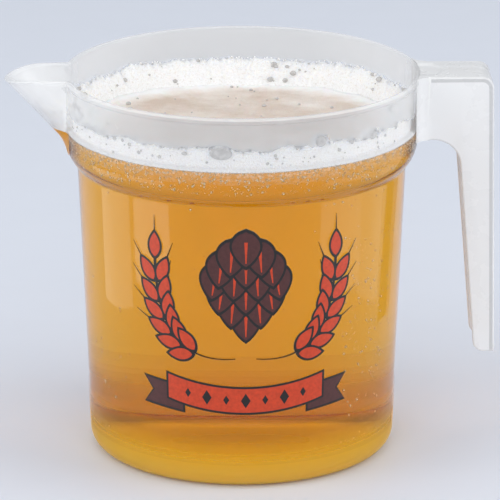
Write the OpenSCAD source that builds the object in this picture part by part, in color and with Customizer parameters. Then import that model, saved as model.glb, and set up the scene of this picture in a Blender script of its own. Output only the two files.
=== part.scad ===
/* [Body] */
// Height from the table to the rim
body_height = 150; // [130:1:175]
// Outer radius of the lip band at the rim
rim_radius = 69; // [60:0.5:80]
// Depth of the lip band below the rim
lip_depth = 2.4; // [1.6:0.1:4]
// How far the lip band stands proud of the collar
lip_proud = 0.4; // [0.2:0.05:0.8]
// Height of the collar, from the shoulder up to the rim
collar_height = 26; // [22:0.5:31]
// How much the collar narrows from the lip band down to the shoulder
collar_draft = 0.3; // [0.1:0.1:1]
// Height of the rounded shoulder, from the barrel's crease up to the collar
shoulder_drop = 9.7; // [8:0.1:12]
// How far the shoulder steps in from the collar to the barrel
shoulder_step = 4.4; // [3.6:0.1:5.4]
// How much the barrel narrows from the crease down to the table
barrel_draft = 4.9; // [1:0.1:8]
// Radius of the rounded heel
heel_radius = 7.5; // [5:0.5:12]
// Wall thickness of barrel, shoulder and collar
wall = 1.8; // [1.2:0.1:2.6]
// Thickness of the floor
floor_thickness = 2.2; // [1.5:0.1:4]
// Depth of the recess under the floor
base_recess = 1.2; // [0.6:0.1:2]
// Width of the flat ring that the pitcher stands on
foot_width = 6; // [4:0.5:10]
// Radius of the moulding gate's pip under the floor
gate_radius = 2.5; // [1.5:0.1:4]
// Height of the moulding gate's pip
gate_height = 0.5; // [0.3:0.1:0.6]

/* [Spout] */
// Length of the spout, from the rim out to its tip
spout_length = 22.4; // [18:0.2:27]
// Outer radius of the spout's round trough, square to its keel
spout_radius = 14.6; // [12:0.2:17]
// Angle of the keel above the horizontal, in degrees
spout_rise = 47; // [42:1:52]
// How far the spout's lip drops at the tip
spout_drop = 2.2; // [0.8:0.1:4]
// Length over which the lip bends down to the tip
spout_dip = 11.4; // [8:0.2:16]
// Wall thickness of the spout
spout_wall = 1.8; // [1.2:0.1:2.4]

/* [Handle] */
// Reach of the handle's outer face beyond the rim, at the top
handle_reach = 27.6; // [24:0.2:36]
// Width of the handle across its cheeks
handle_width = 24.6; // [20:0.2:30]
// Length of the handle from its flat top to its free end
handle_drop = 110.7; // [90:0.1:130]
// Angle by which the leg leans outwards, in degrees
handle_lean = 0.85; // [0:0.05:3]
// Depth of the cheeks where they leave the collar
bridge_depth = 25; // [22:0.2:30]
// Radius of the arch under the bridge
arch_radius = 10.5; // [8:0.1:13]
// Depth of the leg at the height of the bridge's underside
leg_top_depth = 13.8; // [11:0.1:16]
// Depth of the leg at its free end
leg_foot_depth = 8.1; // [6.5:0.1:10]
// Radius of the free end's inner corner
leg_foot_radius = 4; // [2:0.1:5]
// Thickness of the strap and of the cheeks
handle_wall = 2; // [1.4:0.1:2.6]
// Radius of the corner between the flat top and the outer face
handle_corner = 4.6; // [3:0.1:6]
// Radius of the fillets where the cheeks meet the collar
root_fillet = 6; // [4:0.1:8]
// Width of the thumb hollow on the flat top
thumb_width = 15.2; // [10:0.2:18]
// Reach of the thumb hollow beyond the rim
thumb_reach = 7.8; // [5:0.1:12]
// Radius of the thumb hollow's rounded end
thumb_arc = 12.4; // [10:0.1:20]
// Depth of the thumb hollow
thumb_depth = 0.5; // [0.3:0.1:0.9]

/* [Drink] */
// Depth of the beer's surface below the rim
headspace = 21; // [17:0.5:25]
// Height of the foam at the wall above the beer
foam_height = 9; // [5:0.5:12]
// Width of the foam ring at the beer, from the wall to the opening
ring_width = 8; // [8:0.5:14]
// How far the opening lies towards the front of the pitcher
film_offset = 4; // [0:0.5:4.5]
// Thickness of the thin foam film in the opening
film_thickness = 0.8; // [0.4:0.1:1.4]
// How much wider the foam's opening is at its top than at the beer
foam_flare = 2; // [1:0.5:3]
// Clearance between the drink and the walls
drink_gap = 0.1; // [0.05:0.05:0.3]

/* [Hidden] */
$fn = 96;
// Length by which every cut runs past the solid that it cuts
overrun = 1;
// Share by which a rounding arc is drawn full, so that it crosses the lines that it rounds
blend_share = 0.0004;

// Collar and shoulder, whose arc leaves the collar upright and ends at the crease
collar_top = rim_radius - lip_proud;
collar_foot = collar_top - collar_draft;
shoulder_height = body_height - collar_height;
crease_height = shoulder_height - shoulder_drop;
shoulder_radius = (pow(shoulder_drop, 2) + pow(shoulder_step, 2)) / (2 * shoulder_step);
lip_radius = (lip_proud + wall) / 2;

// Barrel and heel
barrel_radius = collar_foot - shoulder_step;
barrel_angle = atan(barrel_draft / crease_height);
barrel_foot = barrel_radius - barrel_draft;
foot_outer = barrel_foot + heel_radius * tan(barrel_angle) - heel_radius / cos(barrel_angle);
foot_inner = foot_outer - foot_width;
floor_level = base_recess + floor_thickness;
inner_heel = heel_radius - wall;

// Spout
spout_tip = rim_radius + spout_length;
spout_tip_height = body_height - spout_drop;
spout_bend = spout_tip - spout_dip;
spout_lip_curve = (pow(spout_dip, 2) + pow(spout_drop, 2)) / (2 * spout_drop);
spout_root_share = 0.3;
spout_run = (spout_length + spout_root_share * rim_radius) / cos(spout_rise);

// Handle, in its side view
handle_face = rim_radius + handle_reach;
handle_bottom = body_height - handle_drop;
bridge_under = body_height - bridge_depth;
corner_x = handle_face - handle_corner;
corner_z = body_height - handle_corner;
leg_top = face_at(bridge_under, leg_top_depth);
leg_foot = face_at(handle_bottom, leg_foot_depth);
leg_angle = atan((leg_foot - leg_top) / (bridge_under - handle_bottom));
arch_height = bridge_under - arch_radius;
arch_centre = leg_top + arch_radius * tan(leg_angle) - arch_radius / cos(leg_angle);
toe_height = handle_bottom + leg_foot_radius;
toe_centre = leg_top + (bridge_under - toe_height) * tan(leg_angle) + leg_foot_radius / cos(leg_angle);
// The root fillets bite a little into the collar and the cheeks, so that they end in an edge
fillet_bite_share = 0.1;
fillet_start_share = 0.9;
fillet_reach = root_fillet * (1 - fillet_bite_share);
fillet_y = handle_width / 2 + fillet_reach;
fillet_x = sqrt(pow(collar_top + fillet_reach, 2) - pow(fillet_y, 2));

// Drink
beer_level = body_height - headspace;
foam_top = beer_level + foam_height;
film_radius = collar_foot - wall - ring_width;

// Distance from the axis, at a height, of a face that lies the depth given behind the handle's outer face
function face_at(height, depth) =
    corner_x + (handle_corner - depth) / cos(handle_lean) + (corner_z - height) * tan(handle_lean);

// Sector of a circle of up to a right angle
module sector(centre, radius, from, to) {
    intersection() {
        translate(centre) circle(radius);
        polygon([
            centre,
            centre + 2 * radius * [cos(from), sin(from)],
            centre + 2 * radius * [cos(to), sin(to)]
        ]);
    }
}

// Half outline of the pitcher's outside, from the axis outwards and up to the height given
module outside_profile(top) {
    heel_centre = [foot_outer, heel_radius];
    shoulder_centre = [collar_foot - shoulder_radius, shoulder_height];
    polygon([
        [0, 0],
        [foot_outer, 0],
        heel_centre,
        heel_centre + heel_radius * [cos(barrel_angle), -sin(barrel_angle)],
        [barrel_radius, crease_height],
        shoulder_centre,
        [collar_foot, shoulder_height],
        [collar_top, body_height - lip_depth],
        [rim_radius, body_height - lip_depth],
        [rim_radius, top],
        [0, top]
    ]);
    translate(heel_centre) circle(heel_radius);
    sector(shoulder_centre, shoulder_radius, -90, 0);
}

// Half outline of the space inside, drawn in from the walls by the gap given
module inside_profile(gap) {
    inset = wall + gap;
    bottom = floor_level + gap;
    heel = inner_heel - gap;
    wall_foot = barrel_foot - inset / cos(barrel_angle);
    heel_centre = [
        wall_foot + (bottom + heel) * tan(barrel_angle) - heel / cos(barrel_angle),
        bottom + heel
    ];
    shoulder_centre = [collar_foot - shoulder_radius, shoulder_height];
    polygon([
        [0, bottom],
        [heel_centre[0], bottom],
        heel_centre,
        heel_centre + heel * [cos(barrel_angle), -sin(barrel_angle)],
        [wall_foot + shoulder_height * tan(barrel_angle), shoulder_height],
        [0, shoulder_height]
    ]);
    translate(heel_centre) circle(heel);
    sector(shoulder_centre, shoulder_radius - inset, -90, 0);
    polygon([
        [0, shoulder_height],
        [collar_foot - inset, shoulder_height],
        [collar_top - inset, body_height - lip_depth],
        [collar_top - inset, body_height + overrun],
        [0, body_height + overrun]
    ]);
}

// Everything inside the pitcher's outer skin, and a little more above the rim
module envelope() {
    rotate_extrude() outside_profile(body_height + overrun);
}

// A side view made into a solid of the width given, astride the middle plane
module across(width) {
    rotate([90, 0, 0]) linear_extrude(width, center = true) children();
}

// Round trough of the spout, square to its keel, drawn in from the outside by the inset given
module spout_section(inset) {
    radius = spout_radius - inset;
    circle(radius);
    translate([-spout_radius, -radius]) square([spout_radius, 2 * radius]);
}

// The trough run along the keel, from inside the pitcher to just past the tip
module spout_prism(inset) {
    translate([-spout_tip, 0, spout_tip_height])
        rotate([0, 90 - spout_rise, 180])
            translate([-spout_radius, 0, -spout_run])
                linear_extrude(spout_run + overrun) spout_section(inset);
}

// Block under the spout's lip, flat at first and bent down to the tip, across the whole width
module under_lip() {
    across(2 * (spout_radius + overrun)) {
        translate([-spout_bend, crease_height]) square([spout_bend, body_height - crease_height]);
        translate([-spout_bend, body_height - spout_lip_curve]) circle(spout_lip_curve);
    }
}

// Barrel, shoulder and collar as one shell with a notch for the spout
module pitcher_body() {
    color([0.90, 0.92, 0.94, 0.40])
        difference() {
            rotate_extrude() {
                difference() {
                    outside_profile(body_height - lip_radius);
                    inside_profile(0);
                    polygon([
                        [0, -overrun],
                        [foot_inner + overrun, -overrun],
                        [foot_inner - base_recess, base_recess],
                        [0, base_recess]
                    ]);
                }
                translate([0, base_recess - gate_height]) square([gate_radius, gate_height]);
                translate([rim_radius - lip_radius, body_height - lip_radius]) circle(lip_radius);
            }
            spout_prism(spout_wall);
        }
}

// The beak, outside the collar only
module pouring_spout() {
    color([0.90, 0.92, 0.94, 0.40])
        difference() {
            intersection() {
                spout_prism(0);
                under_lip();
            }
            spout_prism(spout_wall);
            envelope();
        }
}

// What lies outside an arc about the centre, between two directions in degrees
module corner_waste(centre, radius, from, to) {
    reach = radius + overrun;
    one = [cos(from), sin(from)];
    other = [cos(to), sin(to)];
    difference() {
        polygon([centre, centre + reach * one, centre + reach * (one + other), centre + reach * other]);
        translate(centre) circle(radius * (1 + blend_share));
    }
}

// Side view of the handle: flat top, round corner, leaning face, tapered leg with a round toe, and an arch
module handle_outline() {
    arch = [arch_centre, arch_height];
    difference() {
        polygon([
            [0, body_height],
            [face_at(body_height, 0), body_height],
            [face_at(handle_bottom, 0), handle_bottom],
            [leg_foot, handle_bottom],
            arch + arch_radius * [cos(leg_angle), sin(leg_angle)],
            arch,
            [arch_centre, bridge_under],
            [0, bridge_under]
        ]);
        translate(arch) circle(arch_radius * (1 + blend_share));
        corner_waste([toe_centre, toe_height], leg_foot_radius, 180 + leg_angle, 270);
        corner_waste([corner_x, corner_z], handle_corner, handle_lean, 90);
    }
}

// Side view of the hollow between the cheeks, open to the barrel and below
module pocket_outline() {
    top = body_height - handle_wall;
    low = handle_bottom - overrun;
    difference() {
        polygon([
            [0, top],
            [face_at(top, handle_wall), top],
            [face_at(low, handle_wall), low],
            [0, low]
        ]);
        corner_waste([corner_x, corner_z], handle_corner - handle_wall, handle_lean, 90);
    }
}

// Fillet between one cheek and the collar
module root_fillet_wedge() {
    inner = handle_width / 2 - handle_wall;
    translate([0, 0, bridge_under])
        linear_extrude(bridge_depth)
            difference() {
                polygon([
                    [fillet_start_share * fillet_x, inner],
                    [fillet_x, inner],
                    [fillet_x, fillet_y],
                    fillet_start_share * [fillet_x, fillet_y]
                ]);
                translate([fillet_x, fillet_y]) circle(root_fillet);
            }
}

// Tongue-shaped hollow for the thumb, sunk into the flat top beside the collar
module thumb_hollow() {
    translate([0, 0, body_height - thumb_depth])
        linear_extrude(thumb_depth + overrun)
            intersection() {
                translate([rim_radius + thumb_reach - thumb_arc, 0]) circle(thumb_arc);
                translate([0, -thumb_width / 2]) square([handle_face, thumb_width]);
            }
}

// The handle: a bridge, a rounded corner and a hanging leg, hollow between two cheeks
module handle() {
    color([0.92, 0.93, 0.95, 0.55])
        difference() {
            union() {
                difference() {
                    across(handle_width) handle_outline();
                    across(handle_width - 2 * handle_wall) pocket_outline();
                }
                root_fillet_wedge();
                mirror([0, 1, 0]) root_fillet_wedge();
            }
            envelope();
            thumb_hollow();
        }
}

// The space that the drink can fill, clear of the walls, between two heights
module drink(from, to) {
    intersection() {
        union() {
            rotate_extrude() inside_profile(drink_gap);
            difference() {
                spout_prism(spout_wall + drink_gap);
                cylinder(h = crease_height, r = rim_radius);
            }
        }
        translate([0, 0, from]) cylinder(h = to - from, r = spout_tip);
    }
}

// The foam's opening, which widens upwards, drawn in by the gap given
module foam_opening(gap, height) {
    foot = film_radius - gap;
    translate([0, -film_offset, beer_level])
        cylinder(h = height, r1 = foot, r2 = foot + foam_flare * height / foam_height);
}

// The lager, up into the foot of the spout
module beer() {
    color([0.86, 0.55, 0.10, 0.85]) drink(0, beer_level);
}

// The thick foam along the wall
module foam_ring() {
    color([0.98, 0.97, 0.94])
        difference() {
            drink(beer_level, foam_top);
            foam_opening(0, foam_height + overrun);
        }
}

// The thin foam that covers the beer inside the ring
module foam_film() {
    color([0.84, 0.76, 0.69]) foam_opening(drink_gap, film_thickness);
}

pitcher_body();
pouring_spout();
handle();
beer();
foam_ring();
foam_film();
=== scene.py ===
"""A milky bar pitcher full of lager: shell with spout, channel handle, beer, foam and a printed front."""

import logging
import math
import random
from collections.abc import Callable, Iterable
from dataclasses import dataclass, field
from enum import Enum
from typing import Protocol

import bmesh
import bpy
from mathutils import Euler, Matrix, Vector, noise


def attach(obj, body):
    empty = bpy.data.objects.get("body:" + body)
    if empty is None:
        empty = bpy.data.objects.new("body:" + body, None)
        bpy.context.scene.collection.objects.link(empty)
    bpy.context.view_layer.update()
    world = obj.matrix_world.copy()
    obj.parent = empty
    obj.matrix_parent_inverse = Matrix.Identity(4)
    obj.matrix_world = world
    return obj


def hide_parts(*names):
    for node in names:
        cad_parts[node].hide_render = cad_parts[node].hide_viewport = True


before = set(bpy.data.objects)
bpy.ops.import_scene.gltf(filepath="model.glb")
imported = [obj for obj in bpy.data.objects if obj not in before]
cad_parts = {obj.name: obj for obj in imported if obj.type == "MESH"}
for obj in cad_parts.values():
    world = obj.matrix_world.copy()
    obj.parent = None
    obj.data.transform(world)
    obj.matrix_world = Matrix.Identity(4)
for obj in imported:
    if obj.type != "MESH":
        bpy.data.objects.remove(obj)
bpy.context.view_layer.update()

MM = 0.001
TINY = 1e-6
NOISE_RANGE = (0.3, 0.7)
LIP_ROUNDS = 4
# Start, end and pitch, in degrees, of the mesh's columns at the spout.
SPOUT_SPANS = ((0.0, 9.0, 0.6), (9.0, 13.2, 0.14), (13.2, 20.0, 0.6))
LOG = logging.getLogger("pitcher")
Point2 = tuple[float, float]
Point3 = tuple[float, float, float]
Colour = tuple[float, float, float]
Axes = tuple[Vector, Vector, Vector]


class Slot(Enum):
    """Material slots of the record."""

    PLASTIC = "milky_plastic"
    LAGER = "lager"
    FOAM = "foam"
    FILM = "thin_foam"


@dataclass(frozen=True)
class Clarity:
    """How milky one kind of wall is: its cover, its tone face on and at the sides, and its gloss; a darker
    face-on tone is painted shade, a lighter side tone painted light.
    """

    label: str
    cover: float
    facing: float
    sideways: float
    rough: Point2
    coat: float


class Wall(Enum):
    """Kinds of wall: over beer, foam and air, inner face, spout, base, rim, and three of the handle."""

    WET = Clarity("wet", 0.005, 0.95, 0.95, (0.12, 0.2), 0.6)
    # The froth wall's pale tone and thin cover are painted light, for light that the milky wall lets through
    # onto the foam; its greyer face-on tone is painted shade.
    FROTH = Clarity("froth", 0.2, 0.74, 0.97, (0.2, 0.28), 0.5)
    # The dry wall's grey face-on tone is painted shade, its lighter side tone painted light.
    DRY = Clarity("dry", 0.5, 0.48, 0.73, (0.2, 0.28), 0.5)
    LINER = Clarity("liner", 0.34, 0.95, 0.95, (0.2, 0.26), 0.4)
    SPOUT = Clarity("spout", 0.58, 0.88, 0.88, (0.2, 0.28), 0.6)
    BASE = Clarity("base", 0.02, 0.95, 0.95, (0.3, 0.4), 0.1)
    # The bead's pale tone is partly the thicker plastic of the rim and partly a painted highlight along the
    # lip.
    BEAD = Clarity("bead", 0.4, 0.84, 0.93, (0.2, 0.26), 1.0)
    CHEEK = Clarity("cheek", 0.72, 0.97, 0.97, (0.24, 0.32), 0.8)
    # The strap's grey tone is painted shade, inside the channel and along the strap.
    STRAP = Clarity("strap", 0.85, 0.6, 0.6, (0.24, 0.32), 0.8)
    EDGE = Clarity("edge", 0.65, 0.93, 0.93, (0.24, 0.32), 0.8)


def smooth_max(one: float, other: float, blend: float) -> float:
    """Larger of two values, rounded off where they meet.

    Args:
        one: First value.
        other: Second value.
        blend: Width of the rounding.

    Returns:
        The blended maximum.
    """
    near = max(blend - abs(one - other), 0.0) / blend
    return max(one, other) + near * near * blend * 0.25


def ease(value: float, low: float, high: float) -> float:
    """Smooth step of a value between two limits.

    Args:
        value: Value to place.
        low: Where the step starts.
        high: Where the step ends.

    Returns:
        0 before low, 1 after high, and a smooth curve between.
    """
    t = min(max((value - low) / (high - low), 0.0), 1.0)
    return t * t * (3.0 - 2.0 * t)


def arc(centre: Point2, radius: float, start: float, end: float, steps: int) -> list[Point2]:
    """Points on an arc, both ends included.

    Args:
        centre: Centre of the arc.
        radius: Radius of the arc.
        start: First angle in degrees.
        end: Last angle in degrees.
        steps: Number of chords.

    Returns:
        The points, from start to end.
    """
    turns = [math.radians(start + (end - start) * i / steps) for i in range(steps + 1)]
    return [(centre[0] + radius * math.cos(a), centre[1] + radius * math.sin(a)) for a in turns]


@dataclass
class MeshDraft:
    """Vertices and faces on their way to a mesh, in millimetres, and whether it is shaded smooth."""

    smooth: bool = True
    verts: list[Point3] = field(default_factory=list)
    faces: list[tuple[int, ...]] = field(default_factory=list)
    paint: list[int] = field(default_factory=list)

    def vert(self, x: float, y: float, z: float) -> int:
        """Adds a vertex and returns its index."""
        self.verts.append((x, y, z))
        return len(self.verts) - 1

    def face(self, *corners: int, paint: int = 0) -> None:
        """Adds a face with a material index."""
        self.faces.append(corners)
        self.paint.append(paint)

    def skin(self, rows: list[list[int]], closed: bool = True, paint: int = 0) -> None:
        """Spans quads between rows of vertices.

        Args:
            rows: Rows of vertex indices of equal length.
            closed: Whether each row is a ring.
            paint: Material index of the quads.
        """
        for low, high in zip(rows, rows[1:]):
            count = len(low)
            for i in range(count if closed else count - 1):
                j = (i + 1) % count
                self.face(low[i], low[j], high[j], high[i], paint=paint)

    def fan(self, ring: list[int], centre: int, flip: bool = False, paint: int = 0) -> None:
        """Closes a ring with triangles to a centre vertex.

        Args:
            ring: Ring of vertex indices.
            centre: Index of the middle vertex.
            flip: Whether the triangles face the other way.
            paint: Material index of the triangles.
        """
        for i, a in enumerate(ring):
            b = ring[(i + 1) % len(ring)]
            self.face(*((b, a, centre) if flip else (a, b, centre)), paint=paint)

    def piece(self, name: str, materials: list[bpy.types.Material]) -> bpy.types.Object:
        """Makes the object, in metres.

        Args:
            name: Name of the piece.
            materials: Materials in the order of the material indices.

        Returns:
            The new object, linked to the scene.
        """
        mesh = bpy.data.meshes.new(name)
        mesh.from_pydata([(x * MM, y * MM, z * MM) for x, y, z in self.verts], [], self.faces)
        for material in materials:
            mesh.materials.append(material)
        mesh.polygons.foreach_set("material_index", self.paint)
        mesh.polygons.foreach_set("use_smooth", [self.smooth] * len(self.faces))
        mesh.update()
        piece = bpy.data.objects.new(name, mesh)
        bpy.context.scene.collection.objects.link(piece)
        return piece


def tidy_normals(piece: bpy.types.Object) -> None:
    """Merges doubled vertices and turns all faces outwards.

    Args:
        piece: The piece.
    """
    bm = bmesh.new()
    bm.from_mesh(piece.data)
    bmesh.ops.remove_doubles(bm, verts=bm.verts, dist=TINY)
    bmesh.ops.recalc_face_normals(bm, faces=bm.faces)
    bm.to_mesh(piece.data)
    bm.free()


def place(piece: bpy.types.Object, slot: Slot, *nodes: str) -> None:
    """Lets a piece ride on the body and stand for CAD nodes.

    Args:
        piece: The piece.
        slot: Slot of the record; not used.
        nodes: CAD nodes that it stands for.
    """
    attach(piece, "root")
    if nodes:
        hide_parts(*nodes)
    LOG.info("%s: %d faces", piece.name, len(piece.data.polygons))


class Finish(Protocol):
    """Anything that makes a material."""

    def material(self) -> bpy.types.Material:
        """Makes the material."""


def make(
    draft: MeshDraft, name: str, finishes: Iterable[Finish], slot: Slot, *nodes: str
) -> bpy.types.Object:
    """Makes a piece of a draft, dresses it and places it.

    Args:
        draft: The draft.
        name: Name of the piece.
        finishes: Finishes in the order of the material indices.
        slot: Slot of the record.
        nodes: CAD nodes that it stands for.

    Returns:
        The piece.
    """
    piece = draft.piece(name, [finish.material() for finish in finishes])
    tidy_normals(piece)
    place(piece, slot, *nodes)
    return piece


class NodeSheet:
    """Shader nodes of one material, with a Principled shader at the end."""

    def __init__(self, name: str) -> None:
        """Starts a material of that name.

        Args:
            name: Name of the material.
        """
        self.material = bpy.data.materials.new(name)
        self.material.use_nodes = True
        self.tree = self.material.node_tree
        self.tree.nodes.clear()
        self.output = self.tree.nodes.new("ShaderNodeOutputMaterial")
        self.shader = self.tree.nodes.new("ShaderNodeBsdfPrincipled")
        self.link(self.shader.outputs["BSDF"], self.output.inputs["Surface"])

    def link(self, source: bpy.types.NodeSocket, target: bpy.types.NodeSocket) -> None:
        """Joins two sockets."""
        self.tree.links.new(source, target)

    def set(self, **values: float | Colour) -> None:
        """Sets plain values on the shader's own sockets, with spaces as underscores.

        Args:
            values: Values by socket.
        """
        for key, value in values.items():
            socket = self.shader.inputs[key.replace("_", " ")]
            opaque = isinstance(value, tuple) and len(socket.default_value) == 4
            socket.default_value = (*value, 1.0) if opaque else value

    def drive(self, name: str, source: bpy.types.NodeSocket) -> None:
        """Lets a node's value drive one of the shader's sockets."""
        self.link(source, self.shader.inputs[name])

    def add(self, kind: str, **settings: object) -> bpy.types.Node:
        """Adds a node.

        Args:
            kind: Name of the node's type without its prefix.
            settings: Properties of the node.

        Returns:
            The node.
        """
        node = self.tree.nodes.new("ShaderNode" + kind)
        for key, value in settings.items():
            setattr(node, key, value)
        return node

    def place_in_object(self) -> bpy.types.NodeSocket:
        """Coordinates that stay with the object, in metres."""
        return self.add("TexCoord").outputs["Object"]

    def along(self, axis: str) -> bpy.types.NodeSocket:
        """Place along one axis of the object, in metres.

        Args:
            axis: X, Y or Z.

        Returns:
            The place.
        """
        split = self.add("SeparateXYZ")
        self.link(self.place_in_object(), split.inputs["Vector"])
        return split.outputs[axis]

    def math(self, operation: str, *terms: bpy.types.NodeSocket | float) -> bpy.types.NodeSocket:
        """Reckons with values.

        Args:
            operation: Name of the operation.
            terms: Sockets or numbers.

        Returns:
            The result.
        """
        node = self.add("Math", operation=operation)
        for socket, term in zip(node.inputs, terms):
            if isinstance(term, float):
                socket.default_value = term
            else:
                self.link(term, socket)
        return node.outputs[0]

    def noise(self, scale: float, detail: float = 3.0, rough: float = 0.5) -> bpy.types.NodeSocket:
        """Noise over the object.

        Args:
            scale: Waves per metre.
            detail: Octaves.
            rough: Strength of the finer octaves.

        Returns:
            The noise's value.
        """
        node = self.add("TexNoise")
        node.inputs["Scale"].default_value = scale
        node.inputs["Detail"].default_value = detail
        node.inputs["Roughness"].default_value = rough
        self.link(self.place_in_object(), node.inputs["Vector"])
        return node.outputs["Fac"]

    def cells(self, scale: float) -> bpy.types.NodeSocket:
        """Distance in a cell pattern over the object.

        Args:
            scale: Cells per metre.

        Returns:
            The distance.
        """
        node = self.add("TexVoronoi", feature="F1")
        node.inputs["Scale"].default_value = scale
        self.link(self.place_in_object(), node.inputs["Vector"])
        return node.outputs["Distance"]

    def ramp(self, source: bpy.types.NodeSocket, *stops: tuple[float, Colour]) -> bpy.types.NodeSocket:
        """Colours a value.

        Args:
            source: Value from 0 to 1.
            stops: Places and colours.

        Returns:
            The colour.
        """
        node = self.add("ValToRGB")
        marks = node.color_ramp.elements
        while len(marks) < len(stops):
            marks.new(0.5)
        for mark, (at, colour) in zip(marks, stops):
            mark.position = at
            mark.color = (*colour, 1.0)
        self.link(source, node.inputs["Fac"])
        return node.outputs["Color"]

    def blend(self, source: bpy.types.NodeSocket, dark: Colour, light: Colour) -> bpy.types.NodeSocket:
        """Colours a noise between two tones."""
        return self.ramp(source, *zip(NOISE_RANGE, (dark, light)))

    def spread(
        self, source: bpy.types.NodeSocket, low: float, high: float, to_low: float, to_high: float
    ) -> bpy.types.NodeSocket:
        """Maps a value from one range to another.

        Args:
            source: The value.
            low: Start of its range.
            high: End of its range.
            to_low: Start of the new range.
            to_high: End of the new range.

        Returns:
            The mapped value.
        """
        node = self.add("MapRange")
        for name, value in (("From Min", low), ("From Max", high), ("To Min", to_low), ("To Max", to_high)):
            node.inputs[name].default_value = value
        self.link(source, node.inputs["Value"])
        return node.outputs["Result"]

    def bump(self, source: bpy.types.NodeSocket, depth: float, strength: float = 1.0) -> None:
        """Raises the surface by a value.

        Args:
            source: Height from 0 to 1.
            depth: Height in metres at 1.
            strength: Strength of the bump.
        """
        node = self.add("Bump")
        node.inputs["Strength"].default_value = strength
        node.inputs["Distance"].default_value = depth
        self.link(source, node.inputs["Height"])
        self.link(node.outputs["Normal"], self.shader.inputs["Normal"])


@dataclass(frozen=True)
class MilkyPlastic:
    """Translucent moulded polypropylene with a gloss skin, greyer face on as painted shade and whiter towards
    the sides as painted light.
    """

    wall: Wall
    tint: Colour = (1.003, 0.996, 0.982)
    turn: Point2 = (0.028, 0.064)
    cloud: Point3 = (70.0, 4.0, 0.6)
    cloud_share: float = 0.12
    waves: Point2 = (160.0, 2.0)
    wave_depth: float = 0.00006

    def material(self) -> bpy.types.Material:
        """Makes the material.

        Returns:
            The material.
        """
        clarity = self.wall.value
        sheet = NodeSheet("milky_plastic_" + clarity.label)
        sheet.set(IOR=1.49, Alpha=clarity.cover)
        sheet.set(Coat_Weight=clarity.coat, Coat_Roughness=0.05, Coat_IOR=1.45)
        cloud = sheet.noise(*self.cloud)
        # Painted light and shade: the wall is darker face on, at the front and back, and whiter towards the
        # sides, by the distance from the middle along X.
        aside = sheet.math("ABSOLUTE", sheet.along("X"))
        middle = self.cloud_share / 2
        painted_light_share = sheet.spread(aside, *self.turn, -middle, 1.0 - middle)
        share = sheet.math("MULTIPLY_ADD", cloud, self.cloud_share, painted_light_share)
        tones = [tuple(c * shade for c in self.tint) for shade in (clarity.facing, clarity.sideways)]
        sheet.drive("Base Color", sheet.ramp(share, (0.0, tones[0]), (1.0, tones[1])))
        sheet.drive("Roughness", sheet.spread(cloud, *NOISE_RANGE, *clarity.rough))
        sheet.bump(sheet.noise(*self.waves), self.wave_depth, 0.35)
        return sheet.material


@dataclass(frozen=True)
class PaintedGlow:
    """Thick milky plastic painted gold at the heel and amber higher up: painted light that stands for the
    beer glowing through the foot.
    """

    label: str
    cover: float
    rough: Point2 = (0.3, 0.4)
    span: float = 0.025
    stops: tuple[tuple[float, Colour], ...] = (
        (0.05, (1.0, 0.72, 0.12)), (0.4, (1.0, 0.6, 0.05)), (0.7, (1.0, 0.5, 0.02)),
        (1.0, (0.88, 0.38, 0.01)),
    )
    cloud: Point3 = (70.0, 4.0, 0.6)

    def material(self) -> bpy.types.Material:
        """Makes the material.

        Returns:
            The material.
        """
        sheet = NodeSheet("painted_glow_plastic_" + self.label)
        sheet.set(IOR=1.49, Alpha=self.cover, Specular_IOR_Level=0.1)
        height = sheet.spread(sheet.along("Z"), 0.0, self.span, 0.0, 1.0)
        # Painted glow: the base colour carries the beer's light, gold low down and amber higher up.
        sheet.drive("Base Color", sheet.ramp(height, *self.stops))
        sheet.drive("Roughness", sheet.spread(sheet.noise(*self.cloud), *NOISE_RANGE, *self.rough))
        return sheet.material


@dataclass(frozen=True)
class FineFroth:
    """Bubbles too fine to see one by one, which cling to the wall under the foam."""

    label: str
    cover: float
    pale: Colour = (0.95, 0.85, 0.73)
    tan: Colour = (0.7, 0.48, 0.28)
    grain: float = 850.0

    def material(self) -> bpy.types.Material:
        """Makes the material.

        Returns:
            The material.
        """
        sheet = NodeSheet("fine_froth_" + self.label)
        sheet.set(Alpha=self.cover, Roughness=0.4, Specular_IOR_Level=0.1)
        sheet.drive("Base Color", sheet.ramp(sheet.cells(self.grain), (0.2, self.pale), (0.6, self.tan)))
        return sheet.material


@dataclass(frozen=True)
class Lager:
    """Clear golden beer that takes light by its depth, with the wall's gloss and a hazy foot and edges."""

    absorbed: Colour = (0.996, 0.866, 0.083)
    density: float = 60.0
    haze: tuple[Point2, ...] = ((1.7, 0.03), (2.0, 0.55), (9.0, 0.55), (18.0, 0.03))
    span: float = 20.0
    edges: Point2 = (0.056, 0.064)
    edge_haze: float = 0.2

    def material(self) -> bpy.types.Material:
        """Makes the material.

        Returns:
            The material.
        """
        sheet = NodeSheet("lager")
        sheet.set(Base_Color=(1.0, 1.0, 1.0), IOR=1.33, Transmission_Weight=1.0)
        sheet.set(Coat_Weight=0.2, Coat_IOR=1.49, Coat_Roughness=0.06)
        height = sheet.spread(sheet.along("Z"), 0.0, self.span * MM, 0.0, 1.0)
        foot = sheet.ramp(height, *((z / self.span, (rough,) * 3) for z, rough in self.haze))
        aside = sheet.math("ABSOLUTE", sheet.along("X"))
        edge = sheet.spread(aside, *self.edges, 0.0, self.edge_haze)
        sheet.drive("Roughness", sheet.math("MAXIMUM", foot, edge))
        volume = sheet.add("VolumeAbsorption")
        volume.inputs["Color"].default_value = (*self.absorbed, 1.0)
        volume.inputs["Density"].default_value = self.density
        sheet.link(volume.outputs["Volume"], sheet.output.inputs["Volume"])
        return sheet.material


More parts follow.
